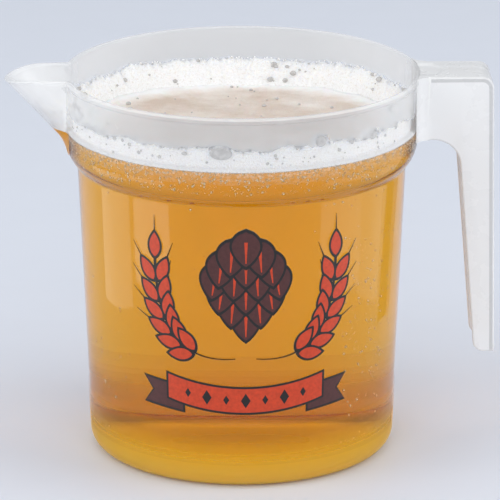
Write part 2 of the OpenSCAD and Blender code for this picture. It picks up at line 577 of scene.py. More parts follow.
@dataclass(frozen=True)
class WhiteFoam:
    """Dense foam of fine bubbles, a little darker between them."""

    label: str = "white_foam"
    scatter: float = 0.7
    light: Colour = (0.9, 0.89, 0.875)
    shade: Colour = (0.78, 0.73, 0.68)
    radius: Colour = (1.0, 0.9, 0.75)
    depth: float = 0.005
    grain: float = 1900.0
    grain_depth: float = 0.0003

    def material(self) -> bpy.types.Material:
        """Makes the material.

        Returns:
            The material.
        """
        sheet = NodeSheet(self.label)
        sheet.set(Subsurface_Weight=self.scatter, Subsurface_Radius=self.radius)
        sheet.set(Subsurface_Scale=self.depth, Roughness=0.55)
        fine = sheet.cells(self.grain)
        sheet.drive("Base Color", sheet.ramp(fine, (0.0, self.light), (0.55, self.light), (0.95, self.shade)))
        sheet.bump(fine, self.grain_depth, 0.6)
        return sheet.material


@dataclass(frozen=True)
class TanFilm:
    """Thin foam over the beer, with whiter islands, which turns to froth at its rim."""

    tan: Colour = (0.62, 0.49, 0.39)
    pale: Colour = (0.82, 0.74, 0.67)
    froth: Colour = (0.93, 0.92, 0.9)
    centre: float = 0.00175
    half: Point2 = (0.06, 0.0558)
    rim: Point2 = (0.8, 1.02)
    rim_share: float = 0.55
    islands: Point3 = (55.0, 6.0, 0.7)
    grain: float = 1500.0
    grain_depth: float = 0.0002

    def material(self) -> bpy.types.Material:
        """Makes the material.

        Returns:
            The material.
        """
        sheet = NodeSheet("tan_film")
        sheet.set(Roughness=0.45, Subsurface_Weight=0.2, Subsurface_Scale=0.001)
        oval = sheet.add("VectorMath", operation="MULTIPLY_ADD")
        sheet.link(sheet.place_in_object(), oval.inputs[0])
        oval.inputs[1].default_value = (1.0 / self.half[0], 1.0 / self.half[1], 0.0)
        oval.inputs[2].default_value = (0.0, self.centre / self.half[1], 0.0)
        far = sheet.add("VectorMath", operation="LENGTH")
        sheet.link(oval.outputs["Vector"], far.inputs[0])
        rim = sheet.spread(far.outputs["Value"], *self.rim, 0.0, self.rim_share)
        share = sheet.math("ADD", sheet.noise(*self.islands), rim)
        tones = ((0.35, self.tan), (0.7, self.pale), (0.98, self.froth))
        sheet.drive("Base Color", sheet.ramp(share, *tones))
        sheet.bump(sheet.cells(self.grain), self.grain_depth, 0.5)
        return sheet.material


@dataclass(frozen=True)
class BubbleSkin:
    """Grey, glossy skin of a large foam bubble."""

    dark: Colour = (0.42, 0.4, 0.38)
    light: Colour = (0.6, 0.58, 0.56)
    patches: float = 500.0
    patch_depth: float = 0.0001

    def material(self) -> bpy.types.Material:
        """Makes the material.

        Returns:
            The material.
        """
        sheet = NodeSheet("bubble_skin")
        sheet.set(Roughness=0.2, Coat_Weight=0.6, Coat_Roughness=0.05)
        patch = sheet.noise(self.patches)
        sheet.drive("Base Color", sheet.blend(patch, self.dark, self.light))
        sheet.bump(patch, self.patch_depth, 0.3)
        return sheet.material


@dataclass(frozen=True)
class GasBubble:
    """Bright skin of a gas bubble in beer."""

    dark: Colour = (0.76, 0.56, 0.36)
    light: Colour = (0.94, 0.83, 0.68)
    patches: Point2 = (900.0, 2.0)

    def material(self) -> bpy.types.Material:
        """Makes the material.

        Returns:
            The material.
        """
        sheet = NodeSheet("gas_bubble")
        sheet.set(Roughness=0.25, Specular_IOR_Level=0.6)
        sheet.drive("Base Color", sheet.blend(sheet.noise(*self.patches), self.dark, self.light))
        return sheet.material


@dataclass(frozen=True)
class PaleFloor:
    """Plain pale matt floor."""

    colour: Colour = (0.745, 0.775, 0.845)
    grain: Point2 = (40.0, 4.0)
    shades: Point2 = (0.99, 1.0)

    def material(self) -> bpy.types.Material:
        """Makes the material.

        Returns:
            The material.
        """
        sheet = NodeSheet("pale_floor")
        sheet.set(Roughness=0.55, Specular_IOR_Level=0.3)
        tones = [tuple(c * share for c in self.colour) for share in self.shades]
        sheet.drive("Base Color", sheet.blend(sheet.noise(*self.grain), *tones))
        return sheet.material


@dataclass
class Moulding:
    """Sizes of the pitcher's moulding, in millimetres, and its radii at any height and side."""

    height: float = 150.0
    rim: float = 69.0
    lip_depth: float = 2.4
    lip_proud: float = 0.4
    collar_height: float = 26.0
    collar_draft: float = 0.3
    shoulder_drop: float = 9.7
    shoulder_step: float = 4.4
    barrel_draft: float = 4.9
    heel: float = 7.5
    wall: float = 1.8
    floor: float = 2.2
    recess: float = 1.2
    foot: float = 6.0
    spout_length: float = 22.4
    spout_radius: float = 14.6
    spout_rise: float = 47.0
    spout_drop: float = 2.2
    spout_dip: float = 11.4
    spout_wall: float = 1.8
    spout_blend: float = 3.0
    spout_turn: float = 1.0

    def __post_init__(self) -> None:
        """Works out the derived sizes."""
        self.collar_top = self.rim - self.lip_proud
        self.collar_foot = self.collar_top - self.collar_draft
        self.shoulder_z = self.height - self.collar_height
        self.crease_z = self.shoulder_z - self.shoulder_drop
        self.shoulder_radius = (self.shoulder_drop**2 + self.shoulder_step**2) / (2 * self.shoulder_step)
        self.barrel = self.collar_foot - self.shoulder_step
        self.slope = math.atan(self.barrel_draft / self.crease_z)
        self.barrel_foot = self.barrel - self.barrel_draft
        self.foot_outer = self.heel_centre(self.barrel_foot, self.heel, self.heel)
        self.floor_z = self.recess + self.floor
        self.tip = self.rim + self.spout_length
        self.tip_z = self.height - self.spout_drop
        self.lip_curve = (self.spout_dip**2 + self.spout_drop**2) / (2 * self.spout_drop)

    def heel_centre(self, foot: float, z: float, heel: float) -> float:
        """Distance from the axis of a heel's centre at a height, for a wall that starts at a foot."""
        return foot + z * math.tan(self.slope) - heel / math.cos(self.slope)

    def outside(self, z: float) -> float:
        """Outer radius of barrel, shoulder and collar at a height, without the heel and the lip band.

        Args:
            z: Height.

        Returns:
            The radius.
        """
        if z <= self.crease_z:
            return self.barrel_foot + z * math.tan(self.slope)
        if z <= self.shoulder_z:
            drop = self.shoulder_z - z
            reach = math.sqrt(max(self.shoulder_radius**2 - drop**2, 0.0))
            return self.collar_foot - self.shoulder_radius + reach
        share = min((z - self.shoulder_z) / (self.height - self.lip_depth - self.shoulder_z), 1.0)
        return self.collar_foot + self.collar_draft * share

    def inside(self, z: float, gap: float = 0.0) -> float:
        """Inner radius at a height, drawn in by a gap, without the inner heel.

        Args:
            z: Height.
            gap: How far the radius is drawn in.

        Returns:
            The radius.
        """
        inset = self.wall + gap
        barrel = self.barrel_foot - inset / math.cos(self.slope) + z * math.tan(self.slope)
        if z > self.shoulder_z:
            return self.outside(z) - inset
        drop = self.shoulder_z - z
        reach = self.shoulder_radius - inset
        bulge = self.collar_foot - self.shoulder_radius + math.sqrt(max(reach**2 - drop**2, 0.0))
        return max(barrel, bulge) if drop < reach else barrel

    def trough(self, side: float, z: float, inset: float) -> float:
        """Radius of the spout's round trough.

        Args:
            side: Angle from the pouring axis in radians.
            z: Height.
            inset: How far the trough is drawn in from its outside.

        Returns:
            Distance from the axis of the barrel, or 0 where the trough isn't met.
        """
        if abs(side) > self.spout_turn:
            return 0.0
        s, c = math.sin(math.radians(self.spout_rise)), math.cos(math.radians(self.spout_rise))
        radius = self.spout_radius - inset
        axis_u = self.tip - s * self.spout_radius
        axis_z = self.tip_z + c * self.spout_radius
        k = s * axis_u + c * (z - axis_z)
        cs, sn = math.cos(side), math.sin(side)
        a = s * s * cs * cs + sn * sn
        root = (s * k * cs) ** 2 - a * (k * k - radius * radius)
        if root < 0.0:
            return 0.0
        reach = (s * k * cs + math.sqrt(root)) / a
        if k - s * reach * cs > 0.0:
            reach = radius / max(abs(sn), TINY)
        return max(reach, 0.0)

    def outer_wall(self, side: float, z: float) -> float:
        """Outer radius with the spout blended in."""
        return smooth_max(self.outside(z), self.trough(side, z, 0.0), self.spout_blend)

    def inner_wall(self, side: float, z: float, gap: float = 0.0) -> float:
        """Inner radius with the spout's channel blended in, drawn in by a gap."""
        return smooth_max(self.inside(z, gap), self.trough(side, z, self.spout_wall + gap), self.spout_blend)

    def lip(self, side: float) -> float:
        """Height of the rim at an angle from the pouring axis, lower towards the spout's tip.

        Args:
            side: The angle, in radians.

        Returns:
            The height.
        """
        top = self.height
        for _ in range(LIP_ROUNDS):
            past = self.outer_wall(side, top) - (self.tip - self.spout_dip)
            top = self.height - max(past, 0.0) ** 2 / (2 * self.lip_curve)
        return top

    @staticmethod
    def sides(pitch: float = 1.25) -> list[float]:
        """Angles of the mesh's columns from the pouring axis, in radians, close together at the spout.

        Args:
            pitch: Degrees between columns away from the spout.

        Returns:
            The angles, once round.
        """
        half: list[float] = []
        for start, end, step in (*SPOUT_SPANS, (SPOUT_SPANS[-1][1], 180.0, pitch)):
            count = round((end - start) / step)
            half += [start + (end - start) * i / count for i in range(count)]
        return [math.radians(a) for a in half + [180.0] + [-a for a in reversed(half[1:])]]

    @staticmethod
    def point(side: float, radius: float, z: float) -> Point3:
        """Point at an angle from the pouring axis, which runs towards -X."""
        return -radius * math.cos(side), -radius * math.sin(side), z


@dataclass
class PitcherShell:
    """Barrel, shoulder, collar and spout as one thin shell."""

    shape: Moulding
    foam_top: Callable[[float], float]
    pitch: float = 0.8
    edge: float = 1.0
    gate: Point2 = (2.5, 0.7)
    apron: float = 6.0
    heel_steps: int = 12
    foot_heights: tuple[float, ...] = (10.0, 12.5, 15.0, 17.5)
    barrel_from: float = 20.0
    barrel_rows: int = 16
    crease: float = 0.3
    crease_clear: float = 1.0
    shoulder_rows: int = 10
    wet_rows: int = 6
    wet_to: float = 129.0
    froth_rows: int = 6
    dry_rows: int = 14
    band_round: tuple[Point2, ...] = ((0.15, 0.28), (0.4, 0.4))
    bead_steps: int = 8
    inner_from: float = 13.0
    inner_heel_steps: int = 10
    floor_middle: float = 20.0
    base_to: float = 9.2
    heel_row: int = 5
    # Bands of the foot, painted gold as the beer's painted glow: top height and cover of each.
    foot: tuple[Point2, ...] = (
        (10.1, 0.43), (12.6, 0.38), (15.1, 0.32), (17.6, 0.25), (20.1, 0.18), (26.0, 0.1),
    )
    # The spout's toe over the beer takes the same painted glow.
    toe_from: float = 66.5
    toe_cover: float = 0.6
    veil: tuple[Point2, ...] = ((128.0, 0.34), (126.4, 0.22), (124.7, 0.12))
    spout_from: float = 67.3
    kinds: tuple[Wall, ...] = (
        Wall.WET, Wall.FROTH, Wall.DRY, Wall.LINER, Wall.SPOUT, Wall.BASE, Wall.BEAD,
    )

    def __post_init__(self) -> None:
        """Sets out the columns, with the height of the rim and of the foam at each."""
        self.draft = MeshDraft()
        self.sides = self.shape.sides(self.pitch)
        self.tops = [self.shape.lip(side) for side in self.sides]
        self.froth = [self.foam_top(side) for side in self.sides]

    def outer_rows(self) -> list[Point2]:
        """Radius and height of the rows under the barrel and up the heel.

        Returns:
            The rows, from the middle outwards and up.
        """
        m = self.shape
        ring = m.foot_outer - m.foot
        rows = [self.gate, (self.gate[0], m.recess)]
        rows += [(ring - self.apron, m.recess), (ring - m.recess, m.recess)]
        rows += [(ring, 0.0), (m.foot_outer - m.foot / 2, 0.0)]
        rows += arc((m.foot_outer, m.heel), m.heel, -90.0, -math.degrees(m.slope), self.heel_steps)
        return rows

    def slide(self, z: float, top: float) -> float:
        """Height of a row in a column whose rim dips."""
        share = max(z - self.wet_to, 0.0) / (self.shape.height - self.wet_to)
        return z - (self.shape.height - top) * share

    def even_heights(self) -> list[float]:
        """Heights of the level rows, from the heel to the top of the beer.

        Returns:
            The heights, from below.
        """
        m = self.shape
        heights = [*self.foot_heights, self.barrel_from]
        spans = [(m.crease_z - self.crease_clear, self.barrel_rows)]
        spans += [(m.crease_z + step, 1) for step in (-self.crease, 0.0, self.crease)]
        spans += [(m.shoulder_z, self.shoulder_rows), (self.wet_to, self.wet_rows)]
        for end, rows in spans:
            start = heights[-1]
            heights += [*(start + (end - start) * i / rows for i in range(1, rows)), end]
        return heights

    def wall_heights(self) -> list[list[float]]:
        """Heights of the rows up to the lip band, column by column; one row follows the foam's top.

        Returns:
            The rows, from below, with a height for each column.
        """
        band = self.shape.height - self.shape.lip_depth
        rows = [[z] * len(self.sides) for z in self.even_heights()]
        for i in range(1, self.froth_rows + 1):
            rows.append([self.wet_to + (foam - self.wet_to) * i / self.froth_rows for foam in self.froth])
        for i in range(1, self.dry_rows + 1):
            share = i / self.dry_rows
            rows.append([z + (self.slide(band, top) - z) * share for z, top in zip(self.froth, self.tops)])
        return rows

    def finish_of(self, row: int, x: float, z: float, froth: range, bead: range) -> int:
        """Index of a face's finish: kinds of wall, bands of the foot and the toe of the spout, both painted
        glow, then the veil.

        Args:
            row: Row of the face.
            x: Its largest X.
            z: Its largest height.
            froth: Rows of the outside that the foam backs.
            bead: Rows of the rim's bead; the rows before it lie outside, those after it inside.

        Returns:
            The index.
        """
        kind = Wall.WET
        if row in bead:
            kind = Wall.BEAD
        elif row > bead.stop + self.dry_rows:
            kind = Wall.BASE if z < self.base_to else Wall.WET
        elif row >= bead.stop:
            kind = Wall.LINER
        elif row >= froth.start:
            wall = Wall.FROTH if row in froth else Wall.DRY
            kind = Wall.SPOUT if x < -self.spout_from else wall
        elif x < -self.toe_from:
            return len(self.kinds) + len(self.foot)
        elif z > self.veil[-1][0]:
            return len(self.kinds) + len(self.foot) + 1 + [z > low for low, _ in self.veil].index(True)
        elif self.heel_row < row and z < self.foot[-1][0]:
            return len(self.kinds) + [z < top for top, _ in self.foot].index(True)
        return self.kinds.index(kind)

    def ring(self, radii: Iterable[float], heights: list[float]) -> list[int]:
        """Adds a row of vertices.

        Args:
            radii: Radius at each column.
            heights: Height at each column.

        Returns:
            The indices of the row.
        """
        return [
            self.draft.vert(*self.shape.point(s, radius, z))
            for s, radius, z in zip(self.sides, radii, heights)
        ]

    def level(self, radius: float, z: float) -> list[int]:
        """Adds a level round row."""
        return self.ring([radius] * len(self.sides), [z] * len(self.sides))

    def proud(self, side: float, z: float, by: float) -> float:
        """Outer radius of the lip band, which stands proud of the collar."""
        m = self.shape
        return smooth_max(m.outside(z) + by, m.trough(side, z, 0.0), m.spout_blend)

    def lip_band(self) -> list[list[int]]:
        """Adds the rows of the lip band's outside.

        Returns:
            The rows, from below.
        """
        m = self.shape
        band = m.height - m.lip_depth
        rows = []
        for z, by in (*((band + up, by) for up, by in self.band_round), (m.height - self.edge, m.lip_proud)):
            heights = [self.slide(z, top) for top in self.tops]
            rows.append(self.ring([self.proud(s, h, by) for s, h in zip(self.sides, heights)], heights))
        return rows

    def bead_rows(self) -> list[list[int]]:
        """Adds the rows of the rounded rim.

        Returns:
            The rows, from outside to inside.
        """
        m = self.shape
        outer = [self.proud(s, top, m.lip_proud) for s, top in zip(self.sides, self.tops)]
        inner = [m.inner_wall(s, top) for s, top in zip(self.sides, self.tops)]
        rows = []
        for i in range(1, self.bead_steps):
            across = -math.cos(math.pi * i / self.bead_steps)
            fall = self.edge * (1.0 - math.sqrt(1.0 - across * across))
            radii = [a + (b - a) * (across + 1.0) / 2.0 for a, b in zip(outer, inner)]
            rows.append(self.ring(radii, [top - fall for top in self.tops]))
        return rows

    def inner_rows(self, wall: list[list[float]]) -> list[list[int]]:
        """Adds the rows of the inside, from the rim down to the floor.

        Args:
            wall: Heights of the outer wall's rows.

        Returns:
            The rows, from above.
        """
        m = self.shape
        inside = [[self.slide(m.height - self.edge, top) for top in self.tops]]
        inside += [heights for heights in reversed(wall) if heights[0] > self.inner_from]
        rows = [self.ring(map(m.inner_wall, self.sides, heights), heights) for heights in inside]
        heel = m.heel - m.wall
        low = m.floor_z + heel
        centre = m.heel_centre(m.barrel_foot - m.wall / math.cos(m.slope), low, heel)
        curve = arc((centre, low), heel, -90.0, -math.degrees(m.slope), self.inner_heel_steps)
        rows += [self.level(radius, z) for radius, z in reversed(curve)]
        return [*rows, self.level(self.floor_middle, m.floor_z)]

    def build(self) -> bpy.types.Object:
        """Makes the shell.

        Returns:
            The shell's object.
        """
        m, draft = self.shape, self.draft
        under = draft.vert(0.0, 0.0, self.gate[1])
        rows = [self.level(radius, z) for radius, z in self.outer_rows()]
        draft.fan(rows[0], under, flip=True)
        first_froth = len(rows) + len(self.even_heights()) - 1
        wall = self.wall_heights()
        rows += [self.ring(map(m.outer_wall, self.sides, heights), heights) for heights in wall]
        rows += self.lip_band()
        first_bead = len(rows) - 1
        rows += self.bead_rows()
        rows += self.inner_rows(wall)
        draft.skin(rows)
        draft.fan(rows[-1], draft.vert(0.0, 0.0, m.floor_z))
        froth = range(first_froth, first_froth + self.froth_rows)
        bead = range(first_bead, first_bead + self.bead_steps)
        for i, face in enumerate(draft.faces):
            xs, _, zs = zip(*(draft.verts[k] for k in face))
            draft.paint[i] = self.finish_of(i // len(self.sides) - 1, max(xs), max(zs), froth, bead)
        milky = [MilkyPlastic(kind) for kind in self.kinds]
        # The foot's bands and the toe are painted glow of the beer.
        golden = [PaintedGlow(f"foot_{k}", cover) for k, (_, cover) in enumerate(self.foot)]
        veil = [FineFroth(str(k), cover) for k, (_, cover) in enumerate(self.veil)]
        finishes = (*milky, *golden, PaintedGlow("toe", self.toe_cover), *veil)
        return make(draft, "pitcher_shell", finishes, Slot.PLASTIC, "pitcher_body", "pouring_spout")


@dataclass
class ChannelHandle:
    """Handle moulded as an open channel: flat top, leaning leg, two cheeks."""

    shape: Moulding
    reach: float = 27.6
    width: float = 24.6
    drop: float = 110.7
    lean: float = 0.85
    bridge: float = 25.0
    arch: float = 10.5
    leg_top: float = 13.8
    leg_foot: float = 8.1
    toe: float = 4.0
    wall: float = 2.0
    corner: float = 4.6
    fillet: float = 6.0
    edge: float = 0.7
    thumb_width: float = 15.2
    thumb_reach: float = 7.8
    thumb_arc: float = 12.4
    thumb_depth: float = 0.5
    thumb_round: Point2 = (-0.25, 0.35)
    root_depth: float = 0.6
    root_inset: float = 1.2
    strap_steps: int = 24
    top_steps: int = 40
    turn_steps: int = 10
    leg_steps: int = 30
    leg_from: float = 2.0
    arch_steps: int = 12
    cheek_steps: int = 16
    toe_steps: int = 8
    fillet_steps: int = 7
    bevel_from: float = 40.0
    bevel_clear: float = 1.0
    bevel_steps: int = 3
    sharp_from: float = 50.0
    kinds: tuple[Wall, ...] = (Wall.CHEEK, Wall.STRAP, Wall.EDGE)

    def __post_init__(self) -> None:
        """Works out the derived sizes."""
        m = self.shape
        self.draft = MeshDraft()
        self.half = self.width / 2
        self.inner = self.half - self.wall
        self.corner_x = m.rim + self.reach - self.corner
        self.corner_z = m.height - self.corner
        self.low = m.height - self.drop
        self.under = m.height - self.bridge
        self.inner_top = self.face_at(self.under, self.leg_top)
        self.inner_low = self.face_at(self.low, self.leg_foot)
        self.taper = math.atan((self.inner_low - self.inner_top) / (self.under - self.low))
        tan, cos = math.tan(self.taper), math.cos(self.taper)
        self.arch_z = self.under - self.arch
        self.arch_x = self.inner_top + self.arch * tan - self.arch / cos
        self.toe_z = self.low + self.toe
        self.toe_x = self.inner_top + (self.under - self.toe_z) * tan + self.toe / cos
        side = self.half + self.fillet
        self.fillet_x = math.sqrt((m.collar_top + self.fillet) ** 2 - side**2)
        self.fillet_end = 180.0 + math.degrees(math.asin(side / (m.collar_top + self.fillet)))
        flare = arc((self.fillet_x, side), self.fillet, 270.0, self.fillet_end, self.fillet_steps)
        self.roots = list(reversed(flare[1:]))
        self.root_x = self.roots[0][0] + self.root_inset

    def face_at(self, z: float, depth: float) -> float:
        """Distance from the axis of a face behind the leaning outer face, at a height."""
        lean = math.radians(self.lean)
        return self.corner_x + (self.corner - depth) / math.cos(lean) + (self.corner_z - z) * math.tan(lean)

    def strap_path(self, depth: float) -> list[Point2]:
        """Side view of the strap's face at a depth, from the fillet's end over the corner to the free end.

        Args:
            depth: Depth under the outer face.

        Returns:
            The points of the path.
        """
        top = self.shape.height - depth
        span = self.corner_x - self.fillet_x
        xs = [self.fillet_x + span * i / self.top_steps for i in range(self.top_steps)]
        turn = arc((self.corner_x, self.corner_z), self.corner - depth, 90.0, self.lean, self.turn_steps)
        start = self.corner_z - self.leg_from
        zs = [start - (start - self.low) * i / self.leg_steps for i in range(self.leg_steps + 1)]
        return [(x, top) for x in xs] + turn + [(self.face_at(z, depth), z) for z in zs]

    def inner_path(self) -> list[Point2]:
        """Side view of the cheeks' inner edge, from the fillet's end over the arch to the toe.

        Returns:
            The points of the path.
        """
        turn = math.degrees(self.taper)
        path = [(self.fillet_x, self.under)]
        path += arc((self.arch_x, self.arch_z), self.arch, 90.0, turn, self.arch_steps)
        steps = self.cheek_steps
        x0, z0 = path[-1]
        x1 = self.toe_x - self.toe * math.cos(self.taper)
        z1 = self.toe_z - self.toe * math.sin(self.taper)
        path += [(x0 + (x1 - x0) * i / steps, z0 + (z1 - z0) * i / steps) for i in range(1, steps)]
        path += arc((self.toe_x, self.toe_z), self.toe, 180.0 + turn, 270.0, self.toe_steps)
        return path

    def hollow(self, x: float, y: float) -> float:
        """Depth of the thumb hollow at a point of the flat top.

        Args:
            x: Distance from the axis.
            y: Way to the side.

        Returns:
            The depth.
        """
        tip = self.shape.rim + self.thumb_reach - self.thumb_arc
        inside = min(self.thumb_arc - math.hypot(x - tip, y), self.thumb_width / 2 - abs(y))
        return self.thumb_depth * ease(inside, *self.thumb_round)

    def strap(self) -> list[list[int]]:
        """Adds the strap's outer face.

        Returns:
            Its rows of vertices, from the collar to the free end.
        """
        top = self.shape.height
        collar = self.shape.collar_top - self.root_depth
        spans = [2 * (i / self.strap_steps) - 1 for i in range(self.strap_steps + 1)]
        rows: list[list[int]] = []
        for i, (x0, y0) in enumerate(self.roots):
            row = []
            for span in spans:
                y = y0 * span
                bow = math.sqrt(collar**2 - y * y) - math.sqrt(collar**2 - y0 * y0)
                x = x0 + bow * (1 - i / len(self.roots))
                row.append(self.draft.vert(x, y, top - self.hollow(x, y)))
            rows.append(row)
        for x, z in self.strap_path(0.0):
            dips = [self.hollow(x, self.half * span) if z == top else 0.0 for span in spans]
            rows.append([self.draft.vert(x, self.half * span, z - dip) for span, dip in zip(spans, dips)])
        self.draft.skin(rows, closed=False)
        return rows

    def cheek(self, hand: int, tops: list[int], ins: list[int]) -> list[int]:
        """Adds one cheek with its root and its edge.

        Args:
            hand: Side of the cheek, -1 or 1.
            tops: Vertices along the strap's edge.
            ins: Vertices along the edge of the strap's inner face.

        Returns:
            The corners of its free end.
        """
        draft, under = self.draft, self.under
        edge = self.inner_path()
        roots = [draft.vert(x, hand * y, under) for x, y in self.roots]
        rim = [draft.vert(x, hand * self.half, z) for x, z in edge]
        lip = [draft.vert(x, hand * self.inner, z) for x, z in [(self.root_x, under), *edge]]
        seam = [draft.vert(x, hand * self.half, z) for x, z in self.strap_path(self.wall)]
        last = len(roots) - 1
        for i in range(last):
            draft.face(tops[i], tops[i + 1], roots[i + 1], roots[i])
        draft.face(tops[last], tops[last + 1], seam[0], rim[0], roots[last])
        # The strap's side strips take the grey strap tone, painted shade.
        draft.skin([tops[last + 1 :], seam], closed=False, paint=self.kinds.index(Wall.STRAP))
        draft.face(*seam, *reversed(rim))
        draft.face(*ins, *reversed(lip))
        for i in range(last):
            draft.face(roots[i], roots[i + 1], lip[0])
        draft.face(roots[last], rim[0], lip[1], lip[0])
        for i in range(len(rim) - 1):
            draft.face(rim[i], rim[i + 1], lip[i + 2], lip[i + 1])
        return [seam[-1], rim[-1], lip[-1], ins[-1]]

    def build(self) -> bpy.types.Object:
        """Makes the handle.

        Returns:
            The handle's object.
        """
        draft = self.draft
        strap = self.strap()
        back = self.strap_path(self.wall)
        path = [(self.root_x, back[0][1]), *back]
        inside = [[draft.vert(x, y, z) for y in (self.inner, -self.inner)] for x, z in path]
        knee = len(inside) - 1 - self.leg_steps - self.turn_steps // 2
        draft.skin(inside[: knee + 1], closed=False)
        # The leg's inner face takes the grey strap tone, painted shade inside the channel.
        draft.skin(inside[knee:], closed=False, paint=self.kinds.index(Wall.STRAP))
        one = self.cheek(1, [row[-1] for row in strap], [row[0] for row in inside])
        other = self.cheek(-1, [row[0] for row in strap], [row[1] for row in inside])
        draft.face(*one, *reversed(other), *strap[-1])
        piece = draft.piece("channel_handle", [MilkyPlastic(kind).material() for kind in self.kinds])
        self.soften(piece)
        place(piece, Slot.PLASTIC, "handle")
        return piece

    def soften(self, piece: bpy.types.Object) -> None:
        """Closes the root and rounds the sharp edges.

        Args:
            piece: The handle.
        """
        tidy_normals(piece)
        bm = bmesh.new()
        bm.from_mesh(piece.data)
        bmesh.ops.holes_fill(bm, edges=[e for e in bm.edges if e.is_boundary], sides=0)
        bmesh.ops.recalc_face_normals(bm, faces=bm.faces)
        sharp = [
            e for e in bm.edges
            if len(e.link_faces) == 2 and e.calc_face_angle(0.0) > math.radians(self.bevel_from)
            and min(v.co.x for v in e.verts) > (self.fillet_x - self.bevel_clear) * MM
        ]
        bmesh.ops.bevel(
            bm, geom=sharp, offset=self.edge * MM, segments=self.bevel_steps, profile=0.5,
            affect="EDGES", clamp_overlap=True, material=self.kinds.index(Wall.EDGE),
        )
        for face in bm.faces:
            face.smooth = True
        bm.to_mesh(piece.data)
        bm.free()
        piece.data.set_sharp_from_angle(angle=math.radians(self.sharp_from))


@dataclass
class LagerFill:
    """The beer, in touch with the plastic: its mesh runs just under the outer skin, so no gap shows."""

    shape: Moulding
    level: float = 129.0
    skin: float = 0.4
    middle: float = 20.0
    heel_steps: int = 10
    barrel: Point2 = (12.0, 112.0)
    neck: float = 16.9
    steps: int = 24
    top_shares: Point3 = (0.985, 0.75, 0.4)

    def build(self) -> bpy.types.Object:
        """Makes the beer.

        Returns:
            The beer's object.
        """
        m = self.shape
        draft = MeshDraft()
        sides = m.sides()
        bottom = m.recess + self.skin
        heel = m.heel - self.skin
        start = -math.degrees(math.asin((m.heel - bottom) / heel))
        rows = [[draft.vert(*m.point(s, self.middle, bottom)) for s in sides]]
        draft.fan(rows[0], draft.vert(0.0, 0.0, bottom), flip=True)
        for radius, z in arc((m.foot_outer, m.heel), heel, start, -math.degrees(m.slope), self.heel_steps):
            rows.append([draft.vert(*m.point(s, radius, z)) for s in sides])
        low, high = self.barrel
        heights = [low + (high - low) * i / self.steps for i in range(self.steps + 1)]
        heights += [high + self.neck * i / self.steps for i in range(1, self.steps + 1)]
        for z in heights:
            rows.append([draft.vert(*m.point(s, m.outer_wall(s, z) - self.skin, z)) for s in sides])
        reach = [m.outer_wall(s, self.level) for s in sides]
        for share in self.top_shares:
            rows.append([draft.vert(*m.point(s, r * share, self.level)) for s, r in zip(sides, reach)])
        draft.skin(rows)
        draft.fan(rows[-1], draft.vert(0.0, 0.0, self.level))
        return make(draft, "lager_fill", [Lager()], Slot.LAGER, "beer")


class Grade(Enum):
    """How fine a ball's mesh is: rows between the poles, and vertices in a row."""

    DOT = (3, 5)
    SMALL = (4, 8)
    PLAIN = (5, 10)
    LARGE = (9, 20)


def chance_size(rng: random.Random, sizes: Point2, power: float) -> float:
    """Size between a least one and what chance adds, more often small with a higher power."""
    return sizes[0] + sizes[1] * rng.random() ** power


def round_axes(size: float, squash: float = 1.0) -> Axes:
    """Half axes of a ball, or of a flattened one."""
    return Vector((size, 0.0, 0.0)), Vector((0.0, size, 0.0)), Vector((0.0, 0.0, size * squash))


def ball(draft: MeshDraft, centre: Vector, axes: Axes, grade: Grade) -> list[int]:
    """Adds a closed ellipsoid to a draft.

    Args:
        draft: The draft.
        centre: Middle of the ellipsoid.
        axes: Its three half axes; the poles lie on the third.
        grade: How fine it is.

    Returns:
        The indices of its vertices.
    """
    rings, spokes = grade.value
    first = len(draft.verts)
    rows = []
    for i in range(1, rings + 1):
        turn = math.pi * i / (rings + 1)
        row = []
        for j in range(spokes):
            way = 2 * math.pi * j / spokes
            x, y = math.sin(turn) * math.cos(way), math.sin(turn) * math.sin(way)
            row.append(draft.vert(*(centre + axes[0] * x + axes[1] * y + axes[2] * math.cos(turn))))
        rows.append(row)
    draft.skin(rows)
    draft.fan(rows[0], draft.vert(*(centre + axes[2])), flip=True)
    draft.fan(rows[-1], draft.vert(*(centre - axes[2])))
    return list(range(first, len(draft.verts)))


